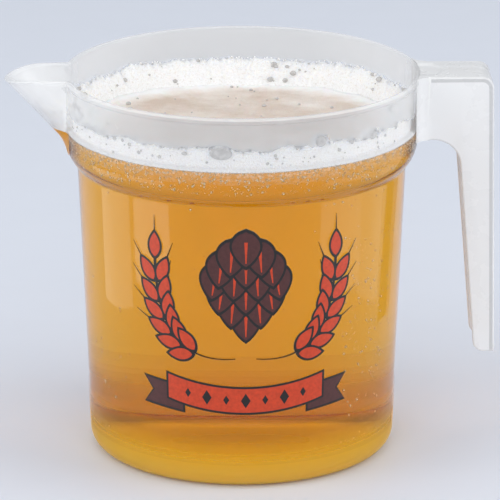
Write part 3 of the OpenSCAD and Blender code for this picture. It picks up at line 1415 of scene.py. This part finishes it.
@dataclass
class FoamHead:
    """Thick foam along the wall, the thin film inside it and the large bubbles on both.

    Waves are given by height, pitch and seed. Bubbles at the wall are given by their angle from the pouring
    axis in degrees, height, width and tallness. Sizes of balls are given by the least and what chance adds.
    """

    shape: Moulding
    level: float = 129.0
    gap: float = 0.35
    cover: float = 0.45
    skirt: float = 0.35
    dip: float = 0.4
    crest: float = 137.7
    highest: float = 141.5
    widths: tuple[Point2, ...] = (
        (0.0, 12.5), (20.0, 10.5), (38.0, 6.5), (60.0, 5.0), (90.0, 6.5), (130.0, 8.5), (181.0, 9.0),
    )
    edge_waves: tuple[Point3, ...] = ((1.6, 5.0, 3.1), (1.0, 16.0, 8.4), (0.8, 30.0, 6.2), (0.5, 55.0, 9.3))
    top_waves: tuple[Point3, ...] = (
        (1.5, 3.6, 0.3), (1.5, 10.0, 4.6), (1.0, 32.0, 7.9), (0.6, 45.0, 2.2), (0.25, 80.0, 5.7),
    )
    lump: Point3 = (0.8, 0.12, 1.7)
    cell: Point2 = (0.55, 0.62)
    bow: Point2 = (1.5, 0.8)
    lumps_in: Point2 = (0.0, 0.12)
    lumps_out: Point2 = (0.9, 1.0)
    columns: int = 720
    wall_shares: tuple[float, ...] = (0.09, 0.3, 0.5, 0.75, 0.92, 1.0)
    top_back: float = 0.5
    top_rows: int = 30
    least: float = 0.3
    tuck: float = 0.8
    feather: int = 6
    lace: int = 500
    lace_seed: int = 31
    lace_size: Point2 = (0.24, 0.45)
    lace_band: Point2 = (-1.0, 0.25)
    film_columns: int = 300
    film_rows: int = 26
    film_tuck: float = 0.6
    film_crown: float = 0.6
    film_height: float = 0.25
    film_rise: float = 0.2
    film_lumps: Point3 = (0.35, 0.8, 40.0)
    film_edge: Point2 = (0.92, 0.98)
    wall_bubbles: tuple[tuple[float, float, float, float], ...] = (
        (81.8, 135.7, 9.8, 5.6), (115.2, 138.7, 5.4, 5.0), (136.8, 137.1, 4.8, 4.6), (150.5, 136.8, 2.8, 3.2),
        (24.8, 136.2, 2.6, 2.2), (29.5, 136.8, 2.0, 1.8), (35.8, 136.6, 2.8, 2.2), (39.0, 135.4, 1.5, 1.4),
        (42.3, 136.0, 2.4, 2.0), (46.0, 136.2, 1.6, 1.5), (49.1, 135.2, 2.2, 1.8), (52.8, 132.9, 1.8, 1.6),
        (60.8, 132.5, 1.7, 1.5), (69.7, 135.0, 2.9, 1.7), (96.9, 131.9, 1.5, 1.4), (99.5, 134.8, 1.6, 1.5),
        (106.8, 137.3, 1.7, 1.8), (122.1, 134.2, 1.8, 1.6), (127.2, 136.3, 2.0, 1.9),
        (143.5, 135.0, 1.6, 1.5),
    )
    large: int = 3
    collar: float = 0.8
    bubble_gap: float = 0.1
    bubble_depth: float = 1.6
    bubble_sink: float = 1.1
    specks: int = 90
    speck_seed: int = 23
    speck_size: Point2 = (0.5, 0.8)
    speck_turn: float = 155.0
    speck_band: Point2 = (1.2, 7.0)
    speck_clear: float = 2.0
    domes: int = 120
    dome_seed: int = 11
    dome_size: Point2 = (0.35, 1.1)
    dome_band: Point2 = (0.1, 0.95)
    dome_back: float = 0.9
    dome_least: float = 0.7
    dome_power: float = 1.2
    dome_sink: float = 0.15
    dome_squash: float = 0.8
    beads: int = 60
    bead_size: Point2 = (0.3, 0.9)
    bead_reach: float = 52.0
    bead_height: float = 0.8
    bead_squash: float = 0.7

    @staticmethod
    def ripple(side: float, waves: tuple[Point3, ...]) -> float:
        """Smooth noise round the wall."""
        c, s = math.cos(side), math.sin(side)
        return sum(tall * noise.noise(Vector((c * pitch, s * pitch, seed))) for tall, pitch, seed in waves)

    def width(self, side: float) -> float:
        """Width of the foam from the wall to its ragged inner edge.

        Args:
            side: Angle from the pouring axis, in radians.

        Returns:
            The width.
        """
        turn = abs((math.degrees(side) + 270.0) % 360.0 - 180.0)
        for (a0, w0), (a1, w1) in zip(self.widths, self.widths[1:]):
            if turn <= a1:
                even = w0 + (w1 - w0) * ease(turn, a0, a1)
                break
        return even + self.ripple(side, self.edge_waves)

    def edge(self, side: float, inset: float) -> Point2:
        """Place in the plan of the foam's inner edge, drawn in by an inset.

        Args:
            side: Angle from the pouring axis, in radians.
            inset: The inset.

        Returns:
            The place.
        """
        radius = self.shape.inside(self.level) - self.width(side) - inset
        x, y, _ = self.shape.point(side, radius, 0.0)
        return x, y

    def lumps(self, x: float, y: float, z: float) -> float:
        """Height of the foam's lumps and bubbles at a place.

        Args:
            x: Place along X.
            y: Place along Y.
            z: Height.

        Returns:
            The rise.
        """
        tall, pitch, seed = self.lump
        coarse = noise.noise(Vector((x * pitch, y * pitch, seed))) * tall
        rise, grain = self.cell
        far = noise.voronoi(Vector((x * grain, y * grain, z * grain)))[0][0]
        return coarse + rise * math.sqrt(max(1.0 - (far / grain) ** 2, 0.0))

    def wall_top(self, side: float) -> float:
        """Height to which the foam clings to the wall.

        Args:
            side: Angle from the pouring axis, in radians.

        Returns:
            The height.
        """
        top = self.crest + self.ripple(side, self.top_waves)
        for turn, z, wide, tall in self.wall_bubbles[: self.large]:
            off = math.radians(math.degrees(side) - turn) * self.shape.inside(z) / (wide / 2 + self.collar)
            if abs(off) < 1.0:
                top = max(top, z + (tall / 2 + self.collar) * math.sqrt(1.0 - off * off))
        return min(top, self.highest)

    def top_at(self, side: float, radius: float, top: float, t: float) -> Point3:
        """Place on the top of the foam.

        Args:
            side: Angle from the pouring axis.
            radius: Where the top starts at the wall.
            top: Height at the wall.
            t: Share of the way from the wall to the inner edge.

        Returns:
            The place.
        """
        x0, y0, _ = self.shape.point(side, radius, top)
        x1, y1 = self.edge(side, 0.0)
        x, y = x0 + (x1 - x0) * t, y0 + (y1 - y0) * t
        z = self.level + (top - self.level) * max(1.0 - t ** self.bow[0], 0.0) ** self.bow[1]
        z += self.lumps(x, y, z) * ease(t, *self.lumps_in) * (1.0 - ease(t, *self.lumps_out))
        return x, y, z

    def ring(self) -> bpy.types.Object:
        """Makes the ring of thick foam.

        Returns:
            The ring's object.
        """
        m = self.shape
        draft = MeshDraft()
        sides = [math.radians(360.0 / self.columns * i) for i in range(self.columns)]
        sides = [s if s <= math.pi else s - 2 * math.pi for s in sides]
        tops = [self.wall_top(s) for s in sides]
        rows: list[list[int]] = []
        for z in (self.level - self.dip, self.level + self.skirt):
            rows.append([draft.vert(*m.point(s, m.outer_wall(s, z) - self.cover, z)) for s in sides])
        for share in self.wall_shares:
            row = []
            for s, top in zip(sides, tops):
                z = self.level + (top - self.level) * share
                back = self.top_back if share == 1.0 else 0.0
                row.append(draft.vert(*m.point(s, m.inner_wall(s, z, self.gap) - back, z)))
            rows.append(row)
        starts = [m.inner_wall(s, top, self.gap) - self.top_back for s, top in zip(sides, tops)]
        for i in range(1, self.top_rows + 1):
            row = []
            for s, start, top in zip(sides, starts, tops):
                x, y, z = self.top_at(s, start, top, i / self.top_rows)
                row.append(draft.vert(x, y, max(z, self.level + self.least)))
            rows.append(row)
        rows.append([draft.vert(*self.edge(s, self.tuck), self.level - self.dip) for s in sides])
        rows.append(rows[0])
        draft.skin(rows)
        thick = (len(rows) - 1 - self.feather) * len(sides)
        self.add_lace(draft)
        draft.paint[thick:] = [1] * (len(draft.faces) - thick)
        finishes = (WhiteFoam(), WhiteFoam("foam_lace", 0.0))
        return make(draft, "foam_head", finishes, Slot.FOAM, "foam_ring")

    def add_lace(self, draft: MeshDraft) -> None:
        """Adds small balls along the foam's top at the wall.

        Args:
            draft: Draft of the ring.
        """
        m = self.shape
        rng = random.Random(self.lace_seed)
        for _ in range(self.lace):
            side = rng.uniform(-math.pi, math.pi)
            size = chance_size(rng, self.lace_size, 2.0)
            z = min(self.wall_top(side) + rng.uniform(*self.lace_band), self.highest - size)
            centre = Vector(m.point(side, m.inner_wall(side, z, self.gap) - size, z))
            ball(draft, centre, round_axes(size), Grade.SMALL)

    def film(self) -> bpy.types.Object:
        """Makes the thin film over the beer.

        Returns:
            The film's object.
        """
        draft = MeshDraft()
        sides = [2 * math.pi * i / self.film_columns for i in range(self.film_columns)]
        rim = [self.edge(s, -self.film_tuck) for s in sides]
        rows = [[draft.vert(x, y, self.level - self.dip) for x, y in rim]]
        tall, spread, seed = self.film_lumps
        for i in range(self.film_rows):
            share = 1.0 - i / self.film_rows
            inner = 1.0 - ease(share, *self.film_edge)
            row = []
            for x, y in ((x0 * share, y0 * share) for x0, y0 in rim):
                rise = self.film_rise + tall * self.lumps(x * spread, y * spread, seed)
                row.append(draft.vert(x, y, self.level + self.film_height + rise * inner))
            rows.append(row)
        draft.skin(rows)
        draft.fan(rows[-1], draft.vert(0.0, 0.0, self.level + self.film_crown))
        draft.fan(rows[0], draft.vert(0.0, 0.0, self.level - self.dip), flip=True)
        return make(draft, "foam_skin", [TanFilm()], Slot.FILM, "foam_film")

    def add_flat_bubbles(self, draft: MeshDraft) -> None:
        """Adds the bubbles that lie flat behind the wall: the listed ones, then specks.

        Args:
            draft: Draft of the bubbles.
        """
        m = self.shape
        rng = random.Random(self.speck_seed)
        bubbles = list(self.wall_bubbles)
        for _ in range(self.specks):
            size = chance_size(rng, self.speck_size, 2.0)
            turn = rng.uniform(-self.speck_turn, self.speck_turn)
            z = self.level + rng.uniform(*self.speck_band)
            if z < self.wall_top(math.radians(turn)) - self.speck_clear:
                bubbles.append((turn, z, size, size))
        for turn, z, wide, tall in bubbles:
            reach = m.inside(z) - self.bubble_gap
            out = Vector(m.point(math.radians(turn), 1.0, 0.0))
            along = Vector((-out.y, out.x, 0.0))
            axes = (along * wide / 2, Vector((0.0, 0.0, tall / 2)), out * self.bubble_depth)
            centre = out * (reach - self.bubble_sink) + Vector((0.0, 0.0, z))
            for k in ball(draft, centre, axes, Grade.LARGE):
                x, y, height = draft.verts[k]
                far = math.hypot(x, y)
                if far > reach:
                    draft.verts[k] = (x * reach / far, y * reach / far, height)

    def add_domes(self, draft: MeshDraft) -> None:
        """Adds the small bubbles on the foam, then those on the film.

        Args:
            draft: Draft of the bubbles.
        """
        rng = random.Random(self.dome_seed)
        for _ in range(self.domes):
            side = rng.uniform(-math.pi, math.pi)
            t = rng.uniform(*self.dome_band) ** self.dome_power
            top = self.wall_top(side)
            x, y, z = self.top_at(side, self.shape.inside(top) - self.dome_back, top, t)
            size = chance_size(rng, self.dome_size, 3.0)
            centre = Vector((x, y, max(z, self.level + self.dome_least) - size * self.dome_sink))
            ball(draft, centre, round_axes(size, self.dome_squash), Grade.PLAIN)
        for _ in range(self.beads):
            turn, far = rng.uniform(0.0, 2 * math.pi), self.bead_reach * math.sqrt(rng.random())
            x, y = far * math.cos(turn), far * math.sin(turn)
            size = chance_size(rng, self.bead_size, 3.0)
            centre = Vector((x, y, self.level + self.bead_height))
            ball(draft, centre, round_axes(size, self.bead_squash), Grade.PLAIN)

    def bubbles(self) -> bpy.types.Object:
        """Makes the larger bubbles: flat ones behind the wall, small domes on the foam and the film.

        Returns:
            The bubbles' object.
        """
        draft = MeshDraft()
        self.add_flat_bubbles(draft)
        self.add_domes(draft)
        return make(draft, "foam_bubbles", [BubbleSkin()], Slot.FOAM)


@dataclass(frozen=True)
class Swarm:
    """A loose swarm of bubbles: its angle and height with their spread, and its number."""

    turn: float
    wide: float
    height: float
    tall: float
    count: int


@dataclass
class ClingingBubbles:
    """Fine gas bubbles on the inside of the wall, thick under the foam and in loose swarms below."""

    shape: Moulding
    level: float = 128.9
    seed: int = 5
    under_foam: int = 6500
    froth_depth: float = 9.5
    froth_power: float = 2.6
    froth_size: Point2 = (0.14, 0.4)
    swarm_size: Point2 = (0.16, 0.38)
    size_power: float = 4.0
    swarms: tuple[Swarm, ...] = (
        Swarm(142.0, 9.0, 62.0, 24.0, 330),
        Swarm(26.0, 9.0, 45.0, 14.0, 90),
        Swarm(100.0, 30.0, 70.0, 40.0, 40),
    )
    swarm_span: Point2 = (14.0, 112.0)
    spout_clear: float = 0.25
    sink: float = 0.9

    def build(self) -> bpy.types.Object:
        """Makes the bubbles.

        Returns:
            The bubbles' object.
        """
        rng = random.Random(self.seed)
        draft = MeshDraft()
        spots = []
        for _ in range(self.under_foam):
            z = self.level - self.froth_depth * rng.random() ** self.froth_power
            spots.append((rng.uniform(-math.pi, math.pi), z, self.froth_size))
        low, high = self.swarm_span
        for swarm in self.swarms:
            for _ in range(swarm.count):
                side = math.radians(rng.gauss(swarm.turn, swarm.wide))
                z = min(max(rng.gauss(swarm.height, swarm.tall), low), high)
                spots.append((side, z, self.swarm_size))
        for side, z, sizes in spots:
            size = chance_size(rng, sizes, self.size_power)
            if abs(side) < self.spout_clear:
                continue
            centre = Vector(self.shape.point(side, self.shape.inside(z) - size * self.sink, z))
            ball(draft, centre, round_axes(size), Grade.DOT)
        return make(draft, "clinging_bubbles", [GasBubble()], Slot.FOAM)


class InkTone(Enum):
    """Inks of the front print."""

    UNDER = (0.72, 0.64, 0.52)
    BLACK = (0.012, 0.01, 0.01)
    RED = (0.56, 0.05, 0.012)
    PLUM = (0.075, 0.022, 0.02)


@dataclass(frozen=True)
class Ink:
    """Screen ink with a fine grain."""

    tone: InkTone
    grain: float = 800.0
    shades: Point2 = (0.85, 1.1)

    def material(self) -> bpy.types.Material:
        """Makes the material.

        Returns:
            The material.
        """
        sheet = NodeSheet("ink_" + self.tone.name.lower())
        sheet.set(Roughness=0.42, Specular_IOR_Level=0.4)
        tones = [tuple(c * share for c in self.tone.value) for share in self.shades]
        sheet.drive("Base Color", sheet.blend(sheet.noise(self.grain), *tones))
        return sheet.material


@dataclass
class FrontPrint:
    """Print on the front in three inks: a hop cone between two barley ears, over a plain ribbon.

    Its places are given on the unrolled wall: the way round from the middle of the front, and the height.
    """

    shape: Moulding
    middle: float = 68.0
    lift: float = 0.03
    layer: float = 0.006
    ink_share: float = 0.8
    outline: float = 0.9
    pitch: float = 1.2
    leaf_steps: int = 14
    leaf_point: float = 1.5
    leaf_power: float = 0.8
    line_taper: float = 0.7
    scales: tuple[tuple[float, tuple[float, ...]], ...] = (
        (75.0, (0.0,)), (80.5, (-4.6, 4.6)), (86.0, (-8.4, 8.4, 0.0)), (91.5, (-10.6, 10.6, -3.8, 3.8)),
        (96.5, (-8.4, 8.4, 0.0)), (101.0, (-4.8, 4.8)), (104.6, (0.0,)),
    )
    scale_length: float = 14.0
    scale_width: float = 10.4
    scale_spread: float = 1.22
    scale_belly: float = 0.42
    rib: tuple[float, ...] = (0.3, 0.45, 0.6, 0.75, 0.9)
    rib_width: float = 1.3
    ear: tuple[Point2, Point2, Point2] = ((4.0, 53.5), (36.0, 50.0), (35.5, 92.0))
    ear_share: float = 0.7
    stalk_steps: int = 24
    pairs: int = 7
    kernel_length: float = 9.6
    kernel_width: float = 4.5
    kernel_belly: float = 0.45
    kernel_lean: float = 27.0
    kernel_root: float = 1.1
    awned: int = 9
    awn: tuple[float, ...] = (0.9, 1.2, 1.5, 1.75)
    awn_width: float = 0.7
    ribbon_half: float = 31.0
    ribbon_height: float = 9.6
    ribbon_low: float = 36.5
    ribbon_bow: float = 4.2
    ribbon_steps: int = 48
    tail: float = 41.5
    tail_lap: float = 6.0
    tail_drop: float = 3.4
    tail_tilt: Point2 = (-1.2, 0.8)
    tail_notch: float = 4.2
    tail_steps: int = 10
    diamond_pitch: float = 7.6
    diamonds: tuple[Point2, Point2] = ((1.9, 3.0), (1.2, 1.9))

    def __post_init__(self) -> None:
        """Starts an empty print."""
        self.draft = MeshDraft(smooth=False)
        self.level = 0
        self.first_coat = True

    def spot(self, at: Point2, height: float) -> int:
        """Adds a vertex at a place of the unrolled wall, raised by a height."""
        side = math.pi / 2 + at[0] / self.shape.outside(self.middle)
        return self.draft.vert(*self.shape.point(side, self.shape.outside(at[1]) + height, at[1]))

    def patch(self, one: list[Point2], other: list[Point2], tone: InkTone) -> None:
        """Lays a closed patch of ink on top of what is there.

        Args:
            one: Points of one edge.
            other: As many points of the other edge.
            tone: Ink of the patch.
        """
        if self.first_coat:
            if tone is not InkTone.BLACK:
                return
            tone = InkTone.UNDER
        wide = max(math.dist(a, b) for a, b in zip(one, other))
        across = max(1, math.ceil(wide / self.pitch))
        shares = [k / across for k in range(across + 1)]
        low = self.lift + self.level * self.layer
        decks = []
        for height in (low, low + self.layer * self.ink_share):
            decks.append([
                [self.spot((x0 + (x1 - x0) * t, z0 + (z1 - z0) * t), height) for t in shares]
                for (x0, z0), (x1, z1) in zip(one, other)
            ])
        paint = list(InkTone).index(tone)
        bottom, top = decks
        for rows in (top, bottom):
            self.draft.skin(rows, closed=False, paint=paint)
        for k in (0, -1):
            self.draft.skin([[row[k] for row in bottom], [row[k] for row in top]], closed=False, paint=paint)
            self.draft.skin([bottom[k], top[k]], closed=False, paint=paint)
        self.level += 0 if self.first_coat else 1

    def leaf(
        self, base: Point2, tip: Point2, width: float, belly: float, tone: InkTone, grow: float = 0.0
    ) -> None:
        """Lays a leaf-shaped patch.

        Args:
            base: One end.
            tip: The other end.
            width: Greatest width.
            belly: Share of the length at which it is widest.
            tone: Ink of the patch.
            grow: How far the patch grows on all sides.
        """
        length = math.dist(base, tip)
        along = ((tip[0] - base[0]) / length, (tip[1] - base[1]) / length)
        power = math.log(0.5) / math.log(belly)
        one, other = [], []
        for i in range(self.leaf_steps + 1):
            t = i / self.leaf_steps
            far = -self.leaf_point * grow + (length + 2 * self.leaf_point * grow) * t
            half = 0.0
            if 0 < i < self.leaf_steps:
                half = (width / 2 + grow) * math.sin(math.pi * t**power) ** self.leaf_power
            x, z = base[0] + along[0] * far, base[1] + along[1] * far
            one.append((x - along[1] * half, z + along[0] * half))
            other.append((x + along[1] * half, z - along[0] * half))
        self.patch(one, other, tone)

    def line(self, path: list[Point2], width: float, tone: InkTone) -> None:
        """Draws a line along a path, with a width that runs out at its end.

        Args:
            path: Points of the path.
            width: Width at its start.
            tone: Ink of the line.
        """
        one, other = [], []
        for i, (x, z) in enumerate(path):
            x0, z0 = path[max(i - 1, 0)]
            x1, z1 = path[min(i + 1, len(path) - 1)]
            length = math.hypot(x1 - x0, z1 - z0)
            half = width / 2 * (1.0 - self.line_taper * i / (len(path) - 1))
            one.append((x - (z1 - z0) / length * half, z + (x1 - x0) / length * half))
            other.append((x + (z1 - z0) / length * half, z - (x1 - x0) / length * half))
        self.patch(one, other, tone)

    def coats(self, tone: InkTone) -> tuple[tuple[InkTone, float], ...]:
        """Inks of a patch and how far each grows: its black outline, then its own ink."""
        return (InkTone.BLACK, self.outline), (tone, 0.0)

    def hop(self) -> None:
        """Draws the hop cone, tip first, so that each row of scales lies over the one below it."""
        for z, places in self.scales:
            for s in places:
                tip = (s * self.scale_spread, z - self.scale_length)
                for tone, grow in self.coats(InkTone.PLUM):
                    self.leaf((s, z), tip, self.scale_width, self.scale_belly, tone, grow)
                rib = [(s + (tip[0] - s) * t, z + (tip[1] - z) * t) for t in self.rib]
                self.line(rib, self.rib_width, InkTone.RED)

    def curve(self, hand: int, t: float) -> tuple[Point2, Point2]:
        """Place on an ear's stalk and its direction, for one hand.

        Args:
            hand: Side of the ear, -1 or 1.
            t: Share of the way up the stalk.

        Returns:
            The place and the direction.
        """
        (x0, z0), (x1, z1), (x2, z2) = self.ear
        a, b, c = (1 - t) ** 2, 2 * t * (1 - t), t * t
        dx = 2 * (1 - t) * (x1 - x0) + 2 * t * (x2 - x1)
        dz = 2 * (1 - t) * (z1 - z0) + 2 * t * (z2 - z1)
        length = math.hypot(dx, dz)
        at = (hand * (a * x0 + b * x1 + c * x2), a * z0 + b * z1 + c * z2)
        return at, (hand * dx / length, dz / length)

    def barley(self, hand: int) -> None:
        """Draws one barley ear: stalk, awns, then the kernels from the tip down.

        Args:
            hand: Side of the ear, -1 or 1.
        """
        steps = range(self.stalk_steps + 1)
        stalk = [self.curve(hand, 1.0 - i / self.stalk_steps)[0] for i in steps]
        self.line(stalk, self.rib_width, InkTone.BLACK)
        grains: list[tuple[Point2, Point2]] = []
        for i in range(self.pairs):
            (x, z), (dx, dz) = self.curve(hand, 1.0 - self.ear_share * i / (self.pairs - 1))
            for lean in (-1, 1) if i else (0,):
                turn = math.radians(self.kernel_lean) * lean
                c, s = math.cos(turn), math.sin(turn)
                root = (x - dz * self.kernel_root * lean, z + dx * self.kernel_root * lean)
                grains.append((root, (dx * c - dz * s, dx * s + dz * c)))
        reach = self.kernel_length
        for (x, z), (dx, dz) in grains[: self.awned]:
            awn = [(x + dx * reach * t, z + dz * reach * t) for t in self.awn]
            self.line(awn, self.awn_width, InkTone.BLACK)
        for (x, z), (dx, dz) in grains:
            tip = (x + dx * reach, z + dz * reach)
            for tone, grow in self.coats(InkTone.RED):
                self.leaf((x, z), tip, self.kernel_width, self.kernel_belly, tone, grow)

    def sag(self, s: float) -> float:
        """Height of the ribbon's middle line."""
        return self.ribbon_low + self.ribbon_bow * (s / self.ribbon_half) ** 2

    def tails(self, hand: int) -> None:
        """Draws one tail of the ribbon, with a notched end.

        Args:
            hand: Side of the tail, -1 or 1.
        """
        near_drop, far_drop = self.tail_tilt
        shares = [-1.0 + i / (self.tail_steps / 2) for i in range(self.tail_steps + 1)]
        middle = self.sag(self.ribbon_half) - self.tail_drop
        for tone, grow in self.coats(InkTone.PLUM):
            near, far = self.ribbon_half - self.tail_lap - grow, self.tail + grow
            half = self.ribbon_height / 2 + grow
            ends = [far - self.tail_notch * (1.0 - abs(t)) for t in shares]
            one = [(hand * near, middle + near_drop + half * t) for t in shares]
            other = [(hand * end, middle + far_drop + half * t) for end, t in zip(ends, shares)]
            self.patch(one, other, tone)

    def ribbon(self) -> None:
        """Draws the ribbon with its tails and a row of diamonds."""
        for hand in (-1, 1):
            self.tails(hand)
        for tone, grow in self.coats(InkTone.RED):
            half = self.ribbon_half + grow
            places = [half * (-1.0 + i / (self.ribbon_steps / 2)) for i in range(self.ribbon_steps + 1)]
            up = self.ribbon_height / 2 + grow
            self.patch([(s, self.sag(s) - up) for s in places], [(s, self.sag(s) + up) for s in places], tone)
        for i in range(-3, 4):
            s = i * self.diamond_pitch
            wide, tall = self.diamonds[i % 2]
            z = self.sag(s)
            ends = [(s, z - tall), (s, z + tall)]
            self.patch([ends[0], (s - wide, z), ends[1]], [ends[0], (s + wide, z), ends[1]], InkTone.BLACK)

    def build(self) -> bpy.types.Object:
        """Makes the print: a pale first coat, then the inks.

        Returns:
            The print's object.
        """
        for coat in (True, False):
            self.first_coat = coat
            for draw, hands in ((self.barley, (-1,)), (self.barley, (1,)), (self.ribbon, ()), (self.hop, ())):
                self.level = 0 if coat else 1
                draw(*hands)
        return make(self.draft, "front_print", map(Ink, InkTone), Slot.PLASTIC)


def facing(at: Point3, target: Point3) -> Euler:
    """Turn of a camera or lamp that looks from one place at another."""
    return (Vector(target) - Vector(at)).to_track_quat("-Z", "Y").to_euler()


@dataclass(frozen=True)
class SoftBox:
    """An area lamp: its place and size in metres, its power in watts, and whether only gloss shows it."""

    name: str
    at: Point3
    size: Point2
    power: float
    card: bool = False

    def hang(self, target: Point3) -> None:
        """Hangs the lamp so that it faces a target.

        Args:
            target: The place that it faces.
        """
        data = bpy.data.lights.new(self.name, "AREA")
        data.shape = "RECTANGLE"
        data.size, data.size_y = self.size
        data.energy = self.power
        lamp = bpy.data.objects.new(self.name, data)
        lamp.location = self.at
        lamp.rotation_euler = facing(self.at, target)
        lamp.visible_diffuse = lamp.visible_transmission = not self.card
        bpy.context.scene.collection.objects.link(lamp)


@dataclass
class Studio:
    """Pale floor, soft light and the camera."""

    eye: Point3 = (-0.0464, -1.7736, 0.6334)
    target: Point3 = (0.0, 0.0, 0.075)
    lens: float = 343.9
    sensor: float = 36.0
    shift: Point2 = (0.0168, 0.0128)
    far: float = 50.0
    floor_half: float = 3000.0
    floor_steps: int = 8
    sky: Colour = (0.9, 0.94, 1.0)
    sky_strength: float = 0.6
    boxes: tuple[SoftBox, ...] = (
        SoftBox("left_box", (-1.3, -0.6, 0.8), (1.0, 1.5), 9.0),
        SoftBox("right_box", (1.3, -0.4, 0.8), (1.0, 1.5), 9.0),
        SoftBox("top_box", (0.0, 0.4, 1.7), (2.2, 2.2), 4.0),
        SoftBox("front_box", (0.0, -2.2, 1.5), (2.4, 1.6), 18.0),
        SoftBox("left_window", (-0.22, 0.005, 0.025), (0.11, 0.05), 0.02, card=True),
        SoftBox("left_band", (-0.22, -0.12, 0.025), (0.12, 0.05), 0.036, card=True),
        SoftBox("right_window", (0.22, 0.045, 0.025), (0.17, 0.05), 0.015, card=True),
        SoftBox("right_band", (0.22, -0.1, 0.025), (0.14, 0.05), 0.024, card=True),
    )

    def camera(self) -> None:
        """Sets the camera at the photograph's angle."""
        data = bpy.data.cameras.new("view")
        data.lens = self.lens
        data.sensor_width = self.sensor
        data.shift_x, data.shift_y = self.shift
        data.clip_end = self.far
        camera = bpy.data.objects.new("view", data)
        camera.location = self.eye
        camera.rotation_euler = facing(self.eye, self.target)
        bpy.context.scene.collection.objects.link(camera)
        bpy.context.scene.camera = camera

    def floor(self) -> None:
        """Lays the floor."""
        draft = MeshDraft()
        half, steps = self.floor_half, self.floor_steps
        places = [-half + 2 * half * i / steps for i in range(steps + 1)]
        draft.skin([[draft.vert(x, y, 0.0) for x in places] for y in places], closed=False)
        floor = draft.piece("floor", [PaleFloor().material()])

    def world(self) -> None:
        """Fills the room with plain soft light."""
        world = bpy.data.worlds.new("room")
        world.use_nodes = True
        back = world.node_tree.nodes["Background"]
        back.inputs["Color"].default_value = (*self.sky, 1.0)
        back.inputs["Strength"].default_value = self.sky_strength
        bpy.context.scene.world = world

    def build(self) -> None:
        """Sets up floor, lamps, world and camera."""
        bpy.context.scene.view_settings.view_transform = "Standard"
        self.floor()
        self.world()
        for box in self.boxes:
            box.hang(self.target)
        self.camera()


def main() -> None:
    """Builds every piece in order."""
    logging.basicConfig(level=logging.INFO, format="%(name)s %(message)s")
    shape = Moulding()
    Studio().build()
    head = FoamHead(shape)
    PitcherShell(shape, head.wall_top).build()
    ChannelHandle(shape).build()
    LagerFill(shape).build()
    head.ring()
    head.film()
    head.bubbles()
    ClingingBubbles(shape).build()
    FrontPrint(shape).build()


if __name__ == "__main__":
    main()
